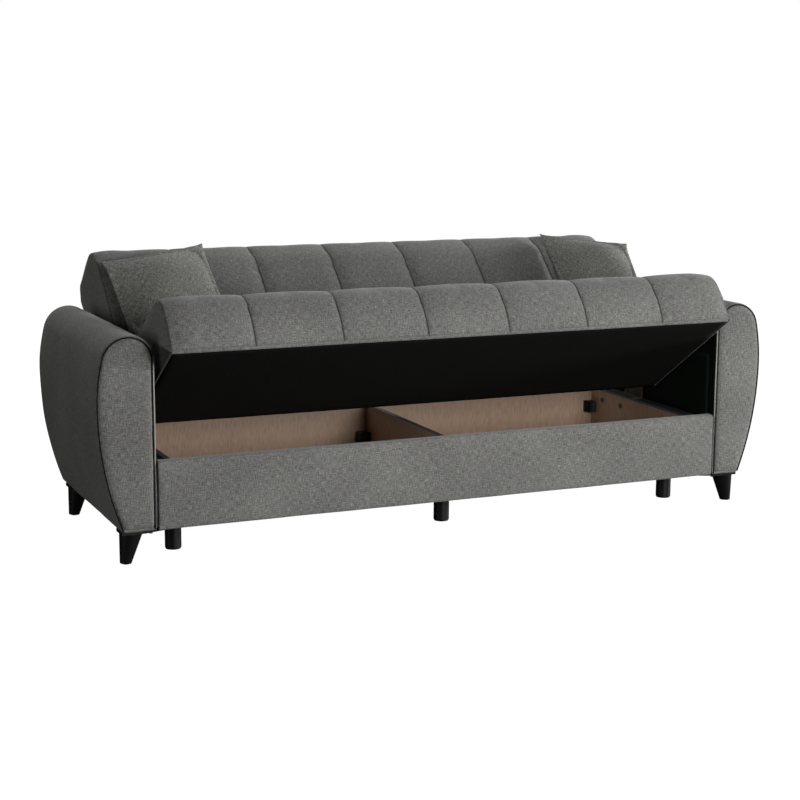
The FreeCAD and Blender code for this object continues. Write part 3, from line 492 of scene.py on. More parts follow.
def channel_stations(width):
    """Places along x where the section is repeated: close together at each seam and at the end seams."""
    fixed = [-pad_half, pad_half]
    for x in seam_places(width):
        fixed += [x] + [x + s * c for c in CREASE for s in (-1, 1)]
    for s in (-1, 1):
        fixed += [s * (pad_half - GUSSET - c) for c in AT_GUSSET]
        fixed += [s * (pad_half - c) for c in AT_END]
    fixed.sort()
    stations = fixed[:1]
    for a, b in zip(fixed, fixed[1:]):
        count = max(1, round((b - a) / CELL))
        stations += [a + (b - a) * (k + 1) / count for k in range(count)]
    return stations


def seam_distance(x, width):
    return min(abs(x - place) for place in seam_places(width))


def fullness(x, width):
    """How far the cover stands out of the plain section at x."""
    share = min(seam_distance(x, width) / width, 0.5)
    crown = CROWN * math.sqrt(max(0.0, 4 * share * (1 - share)))
    into_end = max(0.0, 1 - (pad_half - abs(x)) / GUSSET)
    near_end = max(0.0, 1 - max(0.0, pad_half - GUSSET - abs(x)) / END_DIP_WIDE)
    tuck = TUCK * math.exp(-((pad_half - GUSSET - abs(x)) / TUCK_WIDE) ** 2)
    round_over = END_DRAW * (1 - math.sqrt(max(0.0, 1 - into_end ** 2)))
    return crown - tuck - END_DIP * near_end ** 2 - round_over

# %% [markdown]
# The sewn edges are the ones that show: a groove along each seam, one more seam near each end where the
# end panel is let in, and a hem along the lower edge of the front. Painted shade, stored in a vertex
# attribute, darkens the cloth in them. The cover is then filled: seams, ends and the frame's side are held,
# and the rest is blown up a little, with some slack cloth, which puckers along the seams.

# %% Channelled cushion
SEAM_WIDE, GUSSET_WIDE, HEM_WIDE, SEWN = 3.0 * MM, 1.8 * MM, 1.6 * MM, 1 * MM
# strength of painted shade at the seams, at the end panels' seams and at the hem; TUCKED_DARK is the black
# of the turned-under edge
SEAM_SHADE, GUSSET_SHADE, HEM_SHADE, TUCKED_DARK = 0.85, 0.8, 0.3, 0.95
HEM_LOOP, TUCKED = 2 * MM, 4 * MM
SLAB_SPINE = 0.28
BACK_SPINE = Vector((-55 * MM, 100 * MM)), Vector((-75 * MM, 430 * MM))
PUFF, PUFF_LIMIT, PUFF_SLACK = 1.0, 3 * MM, 0.008


def channelled_cushion(name, outline, place, width, soft_side, hem):
    """outline is (corners, bows) of the closed section. soft_side(point) is 1 where the cover may stand out
    and 0 where not, and hem is the height of a sewn line along the front, or None."""
    bm = cloth_mesh()
    stations = channel_stations(width)
    corners, bows = outline
    rounded_loop(bm, corners, lambda p: place(stations[0], p), CELL, bows)
    for rise in ((-HEM_LOOP, 0.0, HEM_LOOP) if hem else ()):
        bmesh.ops.bisect_plane(bm, geom=bm.verts[:] + bm.edges[:], plane_co=(0, 0, hem + rise),
                               plane_no=(0, 0, 1))
    middle = sum((v.co for v in bm.verts), Vector()) / len(bm.verts)
    measure_round(bm)
    sweep(bm, moves_between(stations, X))
    bmesh.ops.recalc_face_normals(bm, faces=bm.faces[:])
    bm.normal_update()
    outward = {}
    for v in bm.verts:
        way = Vector((0, v.normal.y, v.normal.z))
        if way.dot(v.co - Vector((v.co.x, middle.y, middle.z))) < 0:
            way.negate()
        outward[v] = way.normalized()
    seam_shade_and_tuck = bm.verts.layers.float["seam_shade_and_tuck"]
    held = bm.verts.layers.float["held"]
    for v in bm.verts:
        soft = soft_side(v.co)
        from_seam = seam_distance(v.co.x, width)
        from_gusset = abs(abs(v.co.x) - pad_half + GUSSET)
        from_hem = abs(v.co.z - hem) if hem and v.co.y < middle.y else 1.0
        # painted shade in the creases of the seams, the end panels' seams and the hem
        v[seam_shade_and_tuck] = max(SEAM_SHADE * math.exp(-(from_seam / SEAM_WIDE) ** 2),
                      GUSSET_SHADE * math.exp(-(from_gusset / GUSSET_WIDE) ** 2)) * min(1.0, 3 * soft)
        v[seam_shade_and_tuck] = max(v[seam_shade_and_tuck], HEM_SHADE * math.exp(-(from_hem / HEM_WIDE) ** 2))
        at_end = abs(v.co.x) > pad_half - GUSSET - SEWN
        if hem and v.co.z < hem - TUCKED and at_end:
            # the end panel's lower edge is turned under the black underlining
            v[seam_shade_and_tuck] = TUCKED_DARK
        v.co += outward[v] * fullness(v.co.x, width) * soft
        v[held] = soft < 1 or from_seam < SEWN or at_end
    rims = {side: open_rim(bm, 0, side * pad_half) for side in (-1, 1)}
    for side in rims:
        homes = [v.co for e in rims[side] for v in e.verts]
        low, high = (Vector(f(c[k] for c in homes) for k in range(3)) for f in (min, max))
        if high.z - low.z > high.y - low.y:
            # the backrest's section stands up and is bent
            spine = [place(side * pad_half, p) for p in BACK_SPINE]
        else:
            spine = [low.lerp(high, 0.5) + Vector((0, (high - low).y * s * SLAB_SPINE, 0)) for s in (-1, 1)]
        close_in(bm, rims[side], spine, END_ROWS, side * X)
    map_weave(bm, X, Y, Z)
    bm.verts.index_update()
    tied = [v.index for v in bm.verts if v[held]]
    piece = settle(bm, name, sofa_cloth)
    inflate(piece, tied, PUFF, PUFF_LIMIT, PUFF_SLACK)
    piece.data.transform(tip_up)
    return piece


def mm_corners(rows):
    return [tuple(value * MM for value in row) for row in rows]

# %% [markdown]
# The corners of a section are given in millimetres, each with its radius. The seat's is a slab with a high
# round nose. The backrest's is drawn along its own face, which leans back by 15 degrees, and flares towards
# the top of its rear. A cover stands out only where it is soft: not where it lies on the timber frame, nor
# where the cushions press on each other, so that neither cuts into the other when the backrest is raised.

# %% Seat cushion
SEAT_FRONT, SEAT_REAR = -90, 440
SEAT_UNDER, SEAT_UPPER, SEAT_NOSE = 308, 492, 508
SEAT_FADE_FROM, SEAT_FADE = (SEAT_UNDER + 3) * MM, 16 * MM
PRESS_FROM, PRESS_FADE = (SEAT_REAR - 20) * MM, 50 * MM
SEAT_HEM = (SEAT_UNDER + 8) * MM
SEAT_CHANNEL = 273 * MM
seat_outline = (mm_corners([(SEAT_FRONT, SEAT_UNDER, 6), (SEAT_REAR, SEAT_UNDER, 6),
                            (SEAT_REAR, SEAT_UPPER, 30), (SEAT_FRONT, SEAT_NOSE, 80)]),
                [(3, 4 * MM), (0, 7 * MM)])


def on_seat(x, p):
    return Vector((x, p.x + front_y, p.y))


def seat_softness(co):
    """1 on front and top, 0 at the frame and where the backrest's cushion presses on the rear edge."""
    from_rear = front_y + PRESS_FROM - co.y
    return min(clamped((co.z - SEAT_FADE_FROM) / SEAT_FADE), clamped(from_rear / PRESS_FADE))


seat_cushion = channelled_cushion("seat_cushion", seat_outline, on_seat, SEAT_CHANNEL, seat_softness,
                                  SEAT_HEM)
dress(refine(seat_cushion), "seat_pad", body="seat")

# %% Backrest cushion
LEAN = math.radians(15)
BACK_CHANNEL = 268 * MM
BACK_DEEP, BACK_FOOT, BACK_FADE = 169 * MM, 40 * MM, 60 * MM
back_outline = (mm_corners([(45, 12, 44), (68, 400, 150), (26, 512, 60), (-169, 526, 18), (-203, 483, 18),
                            (-171, 300, 8), (-171, 12, 20)]), [(1, 4 * MM), (3, 4 * MM)])


def on_back(x, p):
    """p.x stands out of the backrest's face and p.y runs up it from the hinge."""
    y = hinge.y + p.y * math.sin(LEAN) - p.x * math.cos(LEAN)
    z = hinge.z + p.y * math.cos(LEAN) + p.x * math.sin(LEAN)
    return Vector((x, y, z))


def back_softness(co):
    """1 on the face, falling to 0 over the top towards the rear, and down at the seat's cushion."""
    out = (co.z - hinge.z) * math.sin(LEAN) - (co.y - hinge.y) * math.cos(LEAN)
    up = (co.z - hinge.z) * math.cos(LEAN) + (co.y - hinge.y) * math.sin(LEAN)
    return min(clamped((out + BACK_DEEP) / BACK_FADE), clamped((up - BACK_FOOT) / BACK_FADE))


back_cushion = channelled_cushion("back_cushion", back_outline, on_back, BACK_CHANNEL, back_softness, None)
dress(refine(back_cushion), "back_pad", body="back")

# %% [markdown]
# ## Arms
#
# Each arm is a roll with one outline along its whole depth: an upright inner side, a tight crown, and an
# outer side that swells and draws in again towards the floor. The cover turns over its front edge, where a
# black cord is sewn in, and inside the cord a stuffed facing stands out a little. On the inner side, under
# the seat, the turned edge is pale, as the cloth's backing shows, and behind it the arm is lined in black.
# Above the closed seat's top the same black runs on up to 585 mm as painted shade.

# %% The arm's outline
ARM_IN, ARM_OUT, FOOT_OUT, CROWN_IN = 955 * MM, 1129 * MM, 1061 * MM, 1030 * MM
ARM_FOOT, ARM_WIDE, ARM_TOP = 100 * MM, 470 * MM, 676 * MM
FLANK_R = 600 * MM
CORD_R = 2.4 * MM
CORD_INSET, FACING_INSET, FACING_SHIFT = 6 * MM, 8.5 * MM, 2.3 * MM
ARM_SPINE = (1008 * MM, 170 * MM), (1036 * MM, 590 * MM)
ARM_CELL = 15 * MM


def arm_line(bm, y, inset, closed):
    """Outline of the right arm from the inner foot over the crown to the outer foot, at depth y."""
    def at(x, z):
        return Vector((x, y, z))

    inner, foot, wide, top = ARM_IN + inset, ARM_FOOT + inset, ARM_OUT - inset, ARM_TOP - inset
    crown_r = CROWN_IN - inner
    across, rise = wide - CROWN_IN, top - ARM_WIDE
    top_r = (across ** 2 + rise ** 2 - 2 * across * FLANK_R) / (2 * rise - 2 * FLANK_R)
    flank, shoulder = at(wide - FLANK_R, ARM_WIDE), at(CROWN_IN, top - top_r)
    turn = math.atan2(shoulder.z - flank.z, shoulder.x - flank.x)
    draw, drop = wide - (FOOT_OUT - inset), ARM_WIDE - foot
    belly_r = (draw ** 2 + drop ** 2) / (2 * draw)
    first = at(inner, foot)
    vert = bm.verts.new(first)
    vert = run_to(bm, vert, at(inner, top - crown_r), ARM_CELL)
    vert = arc_round(bm, vert, at(CROWN_IN, top - crown_r), Y, math.pi / 2, ARM_CELL / 2)
    vert = arc_round(bm, vert, shoulder, Y, math.pi / 2 - turn, ARM_CELL / 2)
    vert = arc_round(bm, vert, flank, Y, turn, ARM_CELL)
    vert = arc_round(bm, vert, at(wide - belly_r, ARM_WIDE), Y, math.asin(drop / belly_r), ARM_CELL)
    if closed:
        run_to(bm, vert, first, ARM_CELL)
        bmesh.ops.remove_doubles(bm, verts=bm.verts[:], dist=MERGE)


def mirror_to(bm, side):
    if side < 0:
        bmesh.ops.scale(bm, vec=(-1, 1, 1), verts=bm.verts[:])

# %% Lining and backing
# thin dull polyester lining, whose black also serves as painted shade high on the arm's inner side, and the
# undyed rear of the cover cloth
lining_black_and_shade = mottled("arm_lining_black_and_shade", "0a120d", "121c15", (2 * MM, 2 * MM, 1), 0.9, weave=True,
                       Specular_IOR_Level=0.15)
pale_backing = mottled("pale_backing", "928e85", "aaa59b", (3 * MM, 3 * MM, 1), 0.9, weave=True)

# %% Arms and their facings
FACING_ROWS = [(0.012, 2.2 * MM), (0.05, 4.6 * MM), (0.14, 6.6 * MM), (0.30, 7.6 * MM), (0.60, 8.0 * MM),
               (1.0, 8.2 * MM)]
TURNED_ROWS = [(0.010, -4 * MM), (0.030, -6.5 * MM), (0.060, -8 * MM), (0.095, -8 * MM), (0.13, -5.5 * MM),
               (0.30, -2 * MM), (1.0, -2 * MM)]
REAR_ROWS = [(0.02, 2 * MM), (0.06, 3.5 * MM), (0.3, 4 * MM), (0.65, 4 * MM), (1.0, 4 * MM)]
COVER_FRONT, COVER_REAR, COVER_ROUND = 10 * MM, 4 * MM, 3 * MM
INSIDE, PALE_LOW, PALE_HIGH, PALE_DEEP = 8 * MM, 296 * MM, 585 * MM, 6 * MM
FACING_BEHIND = 4 * MM


def spine_at(y):
    return [Vector((x, y, z)) for x, z in ARM_SPINE]


def arm_cover(side, name):
    """The roll with its turned front edge. Cloth, pale edge and black lining are materials 0, 1 and 2; the
    black above the closed seat is painted shade.
    """
    bm = cloth_mesh()
    start_y, end_y = front_y + COVER_FRONT, rear_y - COVER_REAR
    arm_line(bm, start_y, 0.0, True)
    measure_round(bm)
    count = round((end_y - start_y) / ARM_CELL)
    stations = [start_y, start_y + COVER_ROUND]
    stations += [start_y + (end_y - start_y) * i / count for i in range(1, count)]
    sweep(bm, moves_between(stations + [end_y - COVER_ROUND, end_y], Y))
    ruffle(bm, 1.6 * MM, 110 * MM)
    for y, rows in ((start_y, TURNED_ROWS), (end_y, REAR_ROWS)):
        close_in(bm, open_rim(bm, 1, y), spine_at(y), rows, Y)
    for face in bm.faces:
        middle = face.calc_center_median()
        if middle.x < ARM_IN + INSIDE and PALE_LOW < middle.z < PALE_HIGH:
            # pale turned edge in front and black lining behind it; from the closed seat's top up to
            # PALE_HIGH the black is painted shade
            face.material_index = 1 if middle.y < start_y - PALE_DEEP else 2
    mirror_to(bm, side)
    map_weave(bm, Y, X, Z)
    return refine(settle(bm, name, sofa_cloth, pale_backing, lining_black_and_shade))


def arm_front(side, name):
    """The stuffed facing, swollen forwards from its sewn rim."""
    bm = cloth_mesh()
    y = front_y + FACING_BEHIND
    arm_line(bm, y, FACING_INSET, True)
    bmesh.ops.translate(bm, vec=(FACING_SHIFT, 0, 0), verts=bm.verts[:])
    measure_round(bm)
    close_in(bm, bm.edges[:], spine_at(y), FACING_ROWS, -Y)
    ruffle(bm, 1.2 * MM, 90 * MM)
    mirror_to(bm, side)
    map_weave(bm, Y, X, Z)
    return refine(settle(bm, name, sofa_cloth))


for side, hand in HANDS:
    dress(arm_cover(side, "arm_cover_" + hand), "arm_" + hand)
    dress(arm_front(side, "arm_front_" + hand), "arm_facing_" + hand)

# %% [markdown]
# ## Piping
#
# A braided black cord is sewn in round each facing, up the inner side, over the crown and down the outer
# side. It is one circle, swept along the arm's outline and turned at each point to stand square to it, so
# that the cord keeps its thickness round the tight crown.

# %% Piping round the facings
CORD_BEHIND, CORD_SIDES = 2.2 * MM, 10

# braided polyester, whose twist shows as short dull streaks
braid = mottled("black_piping", "090909", "131313", (1.5 * MM, 1.5 * MM, 3 * MM), 0.8,
                Specular_IOR_Level=0.3)


def corded(side, name):
    """Round cord along the arm's outline."""
    line = bmesh.new()
    arm_line(line, front_y + CORD_BEHIND, CORD_INSET, False)
    bmesh.ops.translate(line, vec=(FACING_SHIFT, 0, 0), verts=line.verts[:])
    points = [v.co.copy() for v in line.verts]
    line.free()
    spots = []
    for before, point, after in zip(points[:1] + points, points, points[1:] + points[-1:]):
        way = (after - before).normalized()
        turn = Matrix((way.cross(Y).normalized(), Y, way)).transposed().to_4x4()
        spots.append(Matrix.Translation(point) @ turn)
    bm = bmesh.new()
    bmesh.ops.create_circle(bm, segments=CORD_SIDES, radius=CORD_R, matrix=spots[0])
    sweep(bm, [b @ a.inverted() for a, b in zip(spots, spots[1:])])
    bmesh.ops.holes_fill(bm, edges=[e for e in bm.edges if e.is_boundary], sides=0)
    mirror_to(bm, side)
    return settle(bm, name, braid)


for side, hand in HANDS:
    dress(corded(side, "arm_cord_" + hand), "arm_piping_" + hand)

# %% [markdown]
# ## Front rail
#
# The rail's cover is stretched over a board with thin wadding, so its face stands out by a few millimetres
# only, and its edges are softly rounded. On the box's side it ends in two hems, and the bare board shows
# between them.

# %% Rail cover
RAIL_HALF = 951.5 * MM
RAIL_TOP, RAIL_DEEP = 305 * MM, 30 * MM
RAIL_FULL, RAIL_END = 2.5 * MM, 8 * MM
RAIL_CELL = 18 * MM
RAIL_ROUND = 2 * MM, 6 * MM
FACE_LOW, FACE_HIGH = 105 * MM, 297 * MM
BARE_LOW, BARE_HIGH, BARE_AT = 116 * MM, 289 * MM, 22 * MM
RAIL_SPINE = 115 * MM, 290 * MM

bm = cloth_mesh()
rail_corners = mm_corners([(0, 100, 6), (30, 100, 1.5), (30, 305, 1.5), (0, 305, 8)])
rounded_loop(bm, rail_corners, lambda p: Vector((-RAIL_HALF, p.x + front_y, p.y)), RAIL_CELL)
measure_round(bm)
rail_steps = round(2 * RAIL_HALF / RAIL_CELL)
rail_stations = [-RAIL_HALF + 2 * RAIL_HALF * i / rail_steps for i in range(rail_steps + 1)]
rail_stations += [s * (RAIL_HALF - c) for c in RAIL_ROUND for s in (-1, 1)]
sweep(bm, moves_between(sorted(rail_stations), X))
for v in bm.verts:
    if v.co.y < front_y + 2 * MM and FACE_LOW < v.co.z < FACE_HIGH:
        end = clamped((RAIL_HALF - abs(v.co.x)) / RAIL_END)
        up = (v.co.z - ARM_FOOT) / (RAIL_TOP - ARM_FOOT)
        v.co.y -= RAIL_FULL * math.sqrt(max(0.0, 4 * up * (1 - up))) * end ** 0.5
    if v.co.y > front_y + RAIL_DEEP - 2 * MM and BARE_LOW < v.co.z < BARE_HIGH:
        # pulled back into the board, which shows between the hems
        v.co.y = front_y + BARE_AT
ruffle(bm, 0.8 * MM, 130 * MM)
for x in (-RAIL_HALF, RAIL_HALF):
    spine = [Vector((x, front_y + RAIL_DEEP / 2, z)) for z in RAIL_SPINE]
    close_in(bm, open_rim(bm, 0, x), spine, [(0.3, 0), (1.0, 0)], X)
map_weave(bm, X, Y, Z)
dress(refine(settle(bm, "rail_cover", sofa_cloth)), "front_rail_cover")

# %% [markdown]
# ## Stretched cloths
#
# Cloth is stapled tight in four places: grey cover cloth over the rear of the backrest and of the box, black
# non-woven cloth under the seat, and black lining on each arm's inner side. Each is a thin sheet that
# follows the pieces it is stretched on.

# %% A stretched sheet
SHEET_THICK = 0.9 * MM
SHEET_CELL = 20 * MM
SHEET_RIPPLE = 0.5 * MM
DIMPLE = 4 * MM


def stretched_sheet(name, line, half, material, matrix=None):
    """Sheet swept along x, from -half to half, from a list of (y, z) points, with even cells."""
    bm = cloth_mesh()
    points = [Vector((-half, y, z)) for y, z in line]
    vert = bm.verts.new(points[0])
    for point in points[1:]:
        vert = run_to(bm, vert, point, SHEET_CELL)
    along = bm.verts.layers.float["along"]
    total, last = 0.0, points[0]
    for v in bm.verts:
        total += (v.co - last).length
        v[along], last = total, v.co.copy()
    count = round(2 * half / SHEET_CELL)
    sweep(bm, moves_between([-half + 2 * half * i / count for i in range(count + 1)], X))
    map_flat(bm, lambda v: (v.co.x, v[along]))
    ruffle(bm, SHEET_RIPPLE, 90 * MM)
    piece = settle(bm, name, material, matrix=matrix)
    thicken(piece, SHEET_THICK)
    return piece


# felt of melted fibres, dull, and pressed with a net of dimples 4 mm apart
nonwoven, tree, shader = new_finish("black_nonwoven", 0.95, Specular_IOR_Level=0.1)
place = add_node(tree, "UVMap", "UV", uv_map="weave")
scaled = add_node(tree, "VectorMath", 0, {0: place, 1: (1 / DIMPLE,) * 3}, operation="MULTIPLY")
dimples = add_node(tree, "TexVoronoi", "Distance", {"Vector": scaled, "Scale": 1.0})
colour = add_node(tree, "ValToRGB", "Color", {"Fac": dimples}, [(0.1, "0c0c0c"), (0.7, "141413")])
face_with(tree, shader, colour, dimples, 0.4 * MM)

# %% Seat underlining, backrest's rear, box's rear
UNDER_Z = 306.9 * MM
under_line = [(y * MM + front_y, UNDER_Z) for y in (-83.5, 433.5)]
underlining = stretched_sheet("underlining", under_line, 931 * MM, nonwoven, tip_up)
dress(underlining, "seat_underlining", body="seat")

rear_line = [tuple(on_back(0, Vector((out * MM, up * MM))).yz)
             for out, up in ((-173, 33), (-173, 300), (-201.3, 462))]
rear_of_back = stretched_sheet("backrest_rear_cloth", rear_line, 917 * MM, sofa_cloth, tip_up)
dress(rear_of_back, "back_cloth", body="back")

# from under the rear rail up its face and over its top
box_line = [(y * MM + front_y, z * MM) for y, z in
            ((705, 105.5), (733, 105.5), (736, 107), (737, 110), (737, 284), (736, 287), (733, 288.5),
             (705, 288.5))]
rear_of_box = stretched_sheet("box_rear_cloth", box_line, RAIL_HALF, sofa_cloth)
dress(rear_of_box, "rear_cloth")

# %% Arm linings
LINING_X = 952.8 * MM

for side, hand in HANDS:
    bm = cloth_mesh()
    low_corner, high_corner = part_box("arm_lining_" + hand)
    x = side * LINING_X
    first = bm.verts.new((x, low_corner.y, low_corner.z))
    run_to(bm, first, Vector((x, low_corner.y, high_corner.z)), SHEET_CELL)
    count = round((high_corner.y - low_corner.y) / SHEET_CELL)
    sweep(bm, [Matrix.Translation((0, (high_corner.y - low_corner.y) / count, 0))] * count)
    map_flat(bm, lambda v: v.co.yz)
    ruffle(bm, SHEET_RIPPLE, 70 * MM)
    lining = settle(bm, "lining_" + hand, lining_black_and_shade)
    thicken(lining, SHEET_THICK)
    dress(lining, "arm_lining_" + hand)

# %% [markdown]
# ## Webbing
#
# Nine elastic straps are stapled over the seat's frame, from front to rear, and carry the foam. They lie
# hidden between foam and underlining, so each is a plain band.

# %% Elastic webbing under the foam
STRAPS, STRAP_WIDE, STRAP_LONG, STRAP_THICK = 9, 55 * MM, 504 * MM, 1.8 * MM
STRAP_PITCH = 2 * 924 * MM / STRAPS
STRAP_FRONT, STRAP_Z = front_y - 77 * MM, 347 * MM

# rubber threads in a woven band, whose ribs run along it
webbing = mottled("webbing", "1f1e1c", "383632", (4 * MM, 60 * MM, 60 * MM), 0.9)
bm = cloth_mesh()
for i in range(STRAPS):
    middle_x = (i - (STRAPS - 1) / 2) * STRAP_PITCH
    for v in bmesh.ops.create_grid(bm, x_segments=6, y_segments=26, size=0.5)["verts"]:
        v.co = Vector((middle_x + v.co.x * STRAP_WIDE, STRAP_FRONT + (v.co.y + 0.5) * STRAP_LONG, STRAP_Z))
straps = settle(bm, "webbing", webbing, matrix=tip_up)
thicken(straps, STRAP_THICK)
dress(straps, "seat_straps", body="seat")

# %% [markdown]
# ## Pillows
#
# A pillow is two flat panels sewn together at the rim and stuffed. The sides are drawn in a little between
# the corners, which leaves the ears pointed, and short folds run from each ear into the panel. The rim is
# held while the panels, cut with some slack, are blown up. The pillow is then fitted to its four corners on
# the backrest.

# %% Two pillows
PANEL = 0.40
PANEL_CELLS = 44
DRAWN_IN = 10 * MM
EAR_FOLD, EAR_REACH, EAR_FOLDS = 3.4 * MM, 26 * MM, 9
PILLOW_FRONT, PILLOW_REAR, PILLOW_ROUND = 62 * MM, 24 * MM, 0.62
STUFFING, STUFFING_LIMIT, STUFFING_SLACK, PANEL_STIFFNESS = 3.0, 14 * MM, 0.03, 12.0
# for each pillow its side, how far its rim stands out of the backrest's face, and its corners from the upper
# outer one on: inwards from the end, up the face, and lifted off it
PILLOW_CORNERS = {
    "left": (-1, 94.8, [(2, 396, 0), (362, 463, 0), (382, 133, 0), (25, 57, 0)]),
    "right": (1, 74.75, [(-6, 306, 114), (248, 475, 0), (264, 129, 0), (16, 96, 110)]),
}


def ear_fold(x, y):
    """Height of the folds that run from the nearest corner."""
    from_x, from_y = PANEL / 2 - abs(x), PANEL / 2 - abs(y)
    reach = math.hypot(from_x, from_y) / EAR_REACH
    aside = (math.atan2(from_y, from_x) - math.pi / 4) / (math.pi / 4)
    return EAR_FOLD * math.cos(aside * EAR_FOLDS) * (1 - aside ** 2) * reach * math.exp(1 - reach)


def stuffed_panel(name):
    """Square pillow about the origin, its rim in the plane z = 0."""
    bm = cloth_mesh()
    bmesh.ops.create_grid(bm, x_segments=PANEL_CELLS, y_segments=PANEL_CELLS, size=PANEL / 2)
    doubled = bmesh.ops.duplicate(bm, geom=bm.verts[:] + bm.edges[:] + bm.faces[:])["geom"]
    rear_side = set(verts_of(doubled))
    map_flat(bm, lambda v: v.co.xy)
    half = PANEL / 2
    for v in bm.verts:
        u, w = v.co.x / half, v.co.y / half
        rise = max(0.0, (1 - u * u) * (1 - w * w)) ** PILLOW_ROUND
        if v in rear_side:
            v.co.z = -rise * PILLOW_REAR
        else:
            v.co.z = rise * PILLOW_FRONT + ear_fold(v.co.x, v.co.y)
        v.co.x -= DRAWN_IN * u ** 3 * (1 - w ** 6)
        v.co.y -= DRAWN_IN * w ** 3 * (1 - u ** 6)
    rim = [v for v in bm.verts if v.is_boundary]
    held = bm.verts.layers.float["held"]
    for v in rim:
        v[held] = 1.0
    bmesh.ops.remove_doubles(bm, verts=rim, dist=MERGE)
    bm.verts.index_update()
    sewn = [v.index for v in bm.verts if v[held]]
    piece = settle(bm, name, pillow_cloth_lightened)
    inflate(piece, sewn, STUFFING, STUFFING_LIMIT, STUFFING_SLACK, PANEL_STIFFNESS)
    return piece


def fit_to_corners(piece, hand):
    """Carries the stuffed square to its corners on the backrest."""
    sign, rim_out, spots = PILLOW_CORNERS[hand]
    corners = [on_back(sign * (pad_half - inwards * MM), Vector((rim_out + lift, up)) * MM)
               for inwards, up, lift in spots]
    out = (corners[2] - corners[0]).cross(corners[3] - corners[1]).normalized()
    if out.y > 0:
        out.negate()
    for v in piece.data.vertices:
        # the ears keep their place, and the drawn-in sides move with the panel
        u, w = (clamped(c / PANEL + 0.5) for c in v.co.xy)
        upper = corners[0].lerp(corners[1], u)
        lower = corners[3].lerp(corners[2], u)
        v.co = lower.lerp(upper, w) + out * v.co.z
    piece.data.transform(tip_up)
    piece.data.update()


for hand in ("left", "right"):
    pillow = stuffed_panel("scatter_pillow_" + hand)
    fit_to_corners(pillow, hand)
    dress(refine(pillow), "pillow_" + hand, body="back")

# %% [markdown]
# ## Finishes of the hard pieces
#
# Boards, legs and metalwork keep the construction model's shapes and only get their finish. The box is of
# chipboard under a printed wood look. The print's streaks are under a millimetre wide and are drawn 2.2 mm
# wide, so that they show. Hidden timber is planed pine with its grain along the sofa.

# %% Boards and timber
def finish_nodes(finish, *starts):
    names = [n for n in nodes if n.startswith(starts)]
    for name in names:
        nodes[name].data.materials.clear()
        nodes[name].data.materials.append(finish)
    print(finish.name, len(names), "pieces")


LAMINATE = [(0.30, "a0866f"), (0.45, "b59a84"), (0.55, "bfa38c"), (0.72, "c9ad96")]
BROAD_TIMES, BROAD_SHARE = 1 / 0.12, 0.2


def streaky(name, stops, size, roughness):
    """Wood look of fine streaks and broad ones; size is a fine streak's x, y and z in metres."""
    finish, tree, shader = new_finish(name, roughness)
    place = add_node(tree, "TexCoord", "Object")
    fine = grains(tree, place, size)
    broad = grains(tree, place, [s * BROAD_TIMES for s in size])
    streaks = add_node(tree, "Mix", "Result", {"Factor": BROAD_SHARE, "A": fine, "B": broad})
    face_with(tree, shader, add_node(tree, "ValToRGB", "Color", {"Fac": streaks}, stops))
    return finish


wall_laminate = streaky("laminate_upright", LAMINATE, (2.2 * MM, 2.2 * MM, 30 * MM), 0.45)
floor_laminate = streaky("laminate_floor", LAMINATE, (2.2 * MM, 30 * MM, 2.2 * MM), 0.45)
timber = streaky("pine", [(0.3, "b08d5f"), (0.7, "cfae7e")], (90 * MM, 6 * MM, 6 * MM), 0.7)
finish_nodes(wall_laminate, "box_side", "box_divider", "box_rear_wall")
finish_nodes(floor_laminate, "box_floor")
finish_nodes(timber, "seat_frame", "back_frame", "side_beams", "rear_rail", "front_rail_board",
             "arm_base_board")

# %% [markdown]
# The boards' edge band is smooth plastic, and the ledges are rough dark board. Legs and connectors are
# moulded plastic with a fine grain and a dull shine. The hinge plates are zinc-plated steel, drawn dark and
# brownish in patches, and the bolts are plain grey steel.

# %% Bands, ledges, plastic and metal
def even(size):
    return (size,) * 3


band = mottled("edge_band", "4c4c58", "62626f", even(3 * MM), 0.5, 0.1 * MM)
dark_board = mottled("dark_board", "1f1d22", "302e34", even(2 * MM), 0.7, 0.2 * MM)
plastic = mottled("black_plastic", "090909", "101010", even(0.8 * MM), 0.38, 0.15 * MM)
zinc = mottled("zinc_plated_steel", "4e483f", "6a6357", even(14 * MM), 0.45, 0.1 * MM, 1.0)
bolt = mottled("dark_bolts", "505054", "6a6a6e", even(3 * MM), 0.4, 0.1 * MM, 1.0)
finish_nodes(band, "box_edge_bands")
finish_nodes(dark_board, "ledge")
finish_nodes(plastic, "box_leg_", "arm_leg_front", "arm_leg_rear", "leg_blocks", "corner_connectors")
finish_nodes(zinc, "hinge_bracket", "seat_arm_left", "seat_arm_right", "back_arm_left", "back_arm_right",
             "pawl_left", "pawl_right")
finish_nodes(bolt, "arm_leg_screws", "bracket_bolts", "hinge_pins", "seat_arm_bolts", "back_arm_bolts",
             "pawl_pins")

# %% [markdown]
# ## Camera, floor and light
#
# The camera stands to the sofa's left, half a metre over its top, with a long lens. The floor is plain, and
# shines so white that no shadow shows, as on a cut-out product photo. A strong light stands low on the
# sofa's right and rakes along the cushions. A weaker one close in front fills the bedding box and fades
# towards the backrest. Two broad, weak ones on the left and behind keep the arm's side and the crests from
# going black.

# %% Camera
CAMERA_PLACE = Vector((-2.301, -5.1755, 1.380))
CAMERA_YAW, CAMERA_PITCH, CAMERA_ROLL = (math.radians(a) for a in (24.0, 10.33, 0.35))
FOCAL_PX, FRAME_PX, SENSOR = 1731.0, 800.0, 36.0

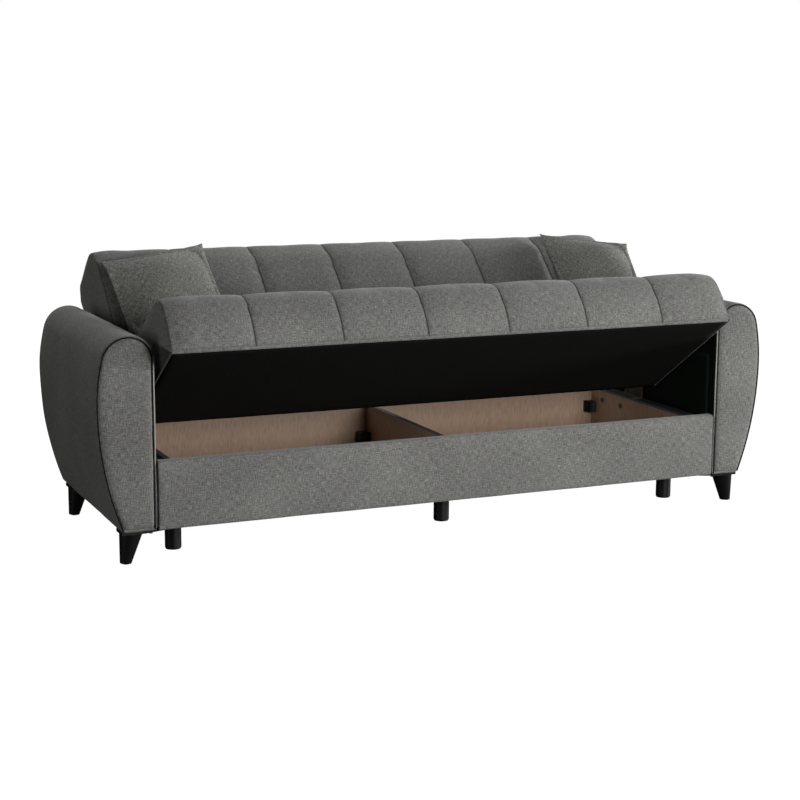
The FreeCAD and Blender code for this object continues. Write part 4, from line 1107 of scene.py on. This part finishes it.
forward = Vector((math.sin(CAMERA_YAW) * math.cos(CAMERA_PITCH),
                  math.cos(CAMERA_YAW) * math.cos(CAMERA_PITCH), -math.sin(CAMERA_PITCH)))
level = Vector((math.cos(CAMERA_YAW), -math.sin(CAMERA_YAW), 0))
upward = level.cross(forward)
right = math.cos(CAMERA_ROLL) * level + math.sin(CAMERA_ROLL) * upward
above = -math.sin(CAMERA_ROLL) * level + math.cos(CAMERA_ROLL) * upward
lens = bpy.data.cameras.new("camera")
lens.sensor_width = SENSOR
lens.lens = FOCAL_PX / FRAME_PX * SENSOR
camera = bpy.data.objects.new("camera", lens)
turned = Matrix((right, above, -forward)).transposed().to_4x4()
camera.matrix_world = Matrix.Translation(CAMERA_PLACE) @ turned
bpy.context.scene.collection.objects.link(camera)
bpy.context.scene.camera = camera
print("camera with a lens of", round(lens.lens), "mm")

# %% Floor
FLOOR_HALF = 30.0

bm = bmesh.new()
bmesh.ops.create_grid(bm, x_segments=1, y_segments=1, size=FLOOR_HALF)
paper, tree, shader = new_finish("studio_paper", 0.9, Emission_Strength=1.0, Base_Color=linear("606060"))
dust = grains(tree, add_node(tree, "TexCoord", "Object"), even(0.5))
glow = add_node(tree, "ValToRGB", "Color", {"Fac": dust}, [(0.3, "fefefe"), (0.7, "ffffff")])
tree.links.new(glow, shader.inputs["Emission Color"])
floor = settle(bm, "floor", paper)
floor.visible_diffuse = False
floor.visible_glossy = False

# %% Light
# each lamp's place, the side of its square in metres, and its power in watts
LAMPS = {
    "key": (Vector((9.5, -2.6, 1.2)), 2.0, 760.0),
    "near_front": (Vector((0.9, -3.8, 1.1)), 1.5, 104.0),
    "left": (Vector((-6.5, -2.0, 1.6)), 3.0, 68.0),
    "rear": (Vector((0.0, 3.5, 3.5)), 3.0, 88.0),
}
AIM = Vector((0, -0.2, 0.45))
SKY_POWER = 0.02


def softbox(name, place, size, power):
    light = bpy.data.lights.new(name, "AREA")
    light.size = size
    light.energy = power
    lamp = bpy.data.objects.new(name, light)
    lamp.visible_camera = False
    turn = (place - AIM).to_track_quat("Z", "Y").to_matrix().to_4x4()
    lamp.matrix_world = Matrix.Translation(place) @ turn
    bpy.context.scene.collection.objects.link(lamp)


for name, (place, size, power) in LAMPS.items():
    softbox(name, place, size, power)
print("lamps", len(LAMPS))

world = bpy.data.worlds.new("studio")
bpy.context.scene.world = world
world.use_nodes = True
sky = world.node_tree
ray = add_node(sky, "LightPath", "Is Camera Ray")
power = add_node(sky, "MapRange", 0, {"Value": ray, "To Min": SKY_POWER, "To Max": 1.0})
sky.links.new(power, sky.nodes["Background"].inputs["Strength"])
sky.nodes["Background"].inputs["Color"].default_value = linear("ffffff")
bpy.context.scene.view_settings.view_transform = "Standard"
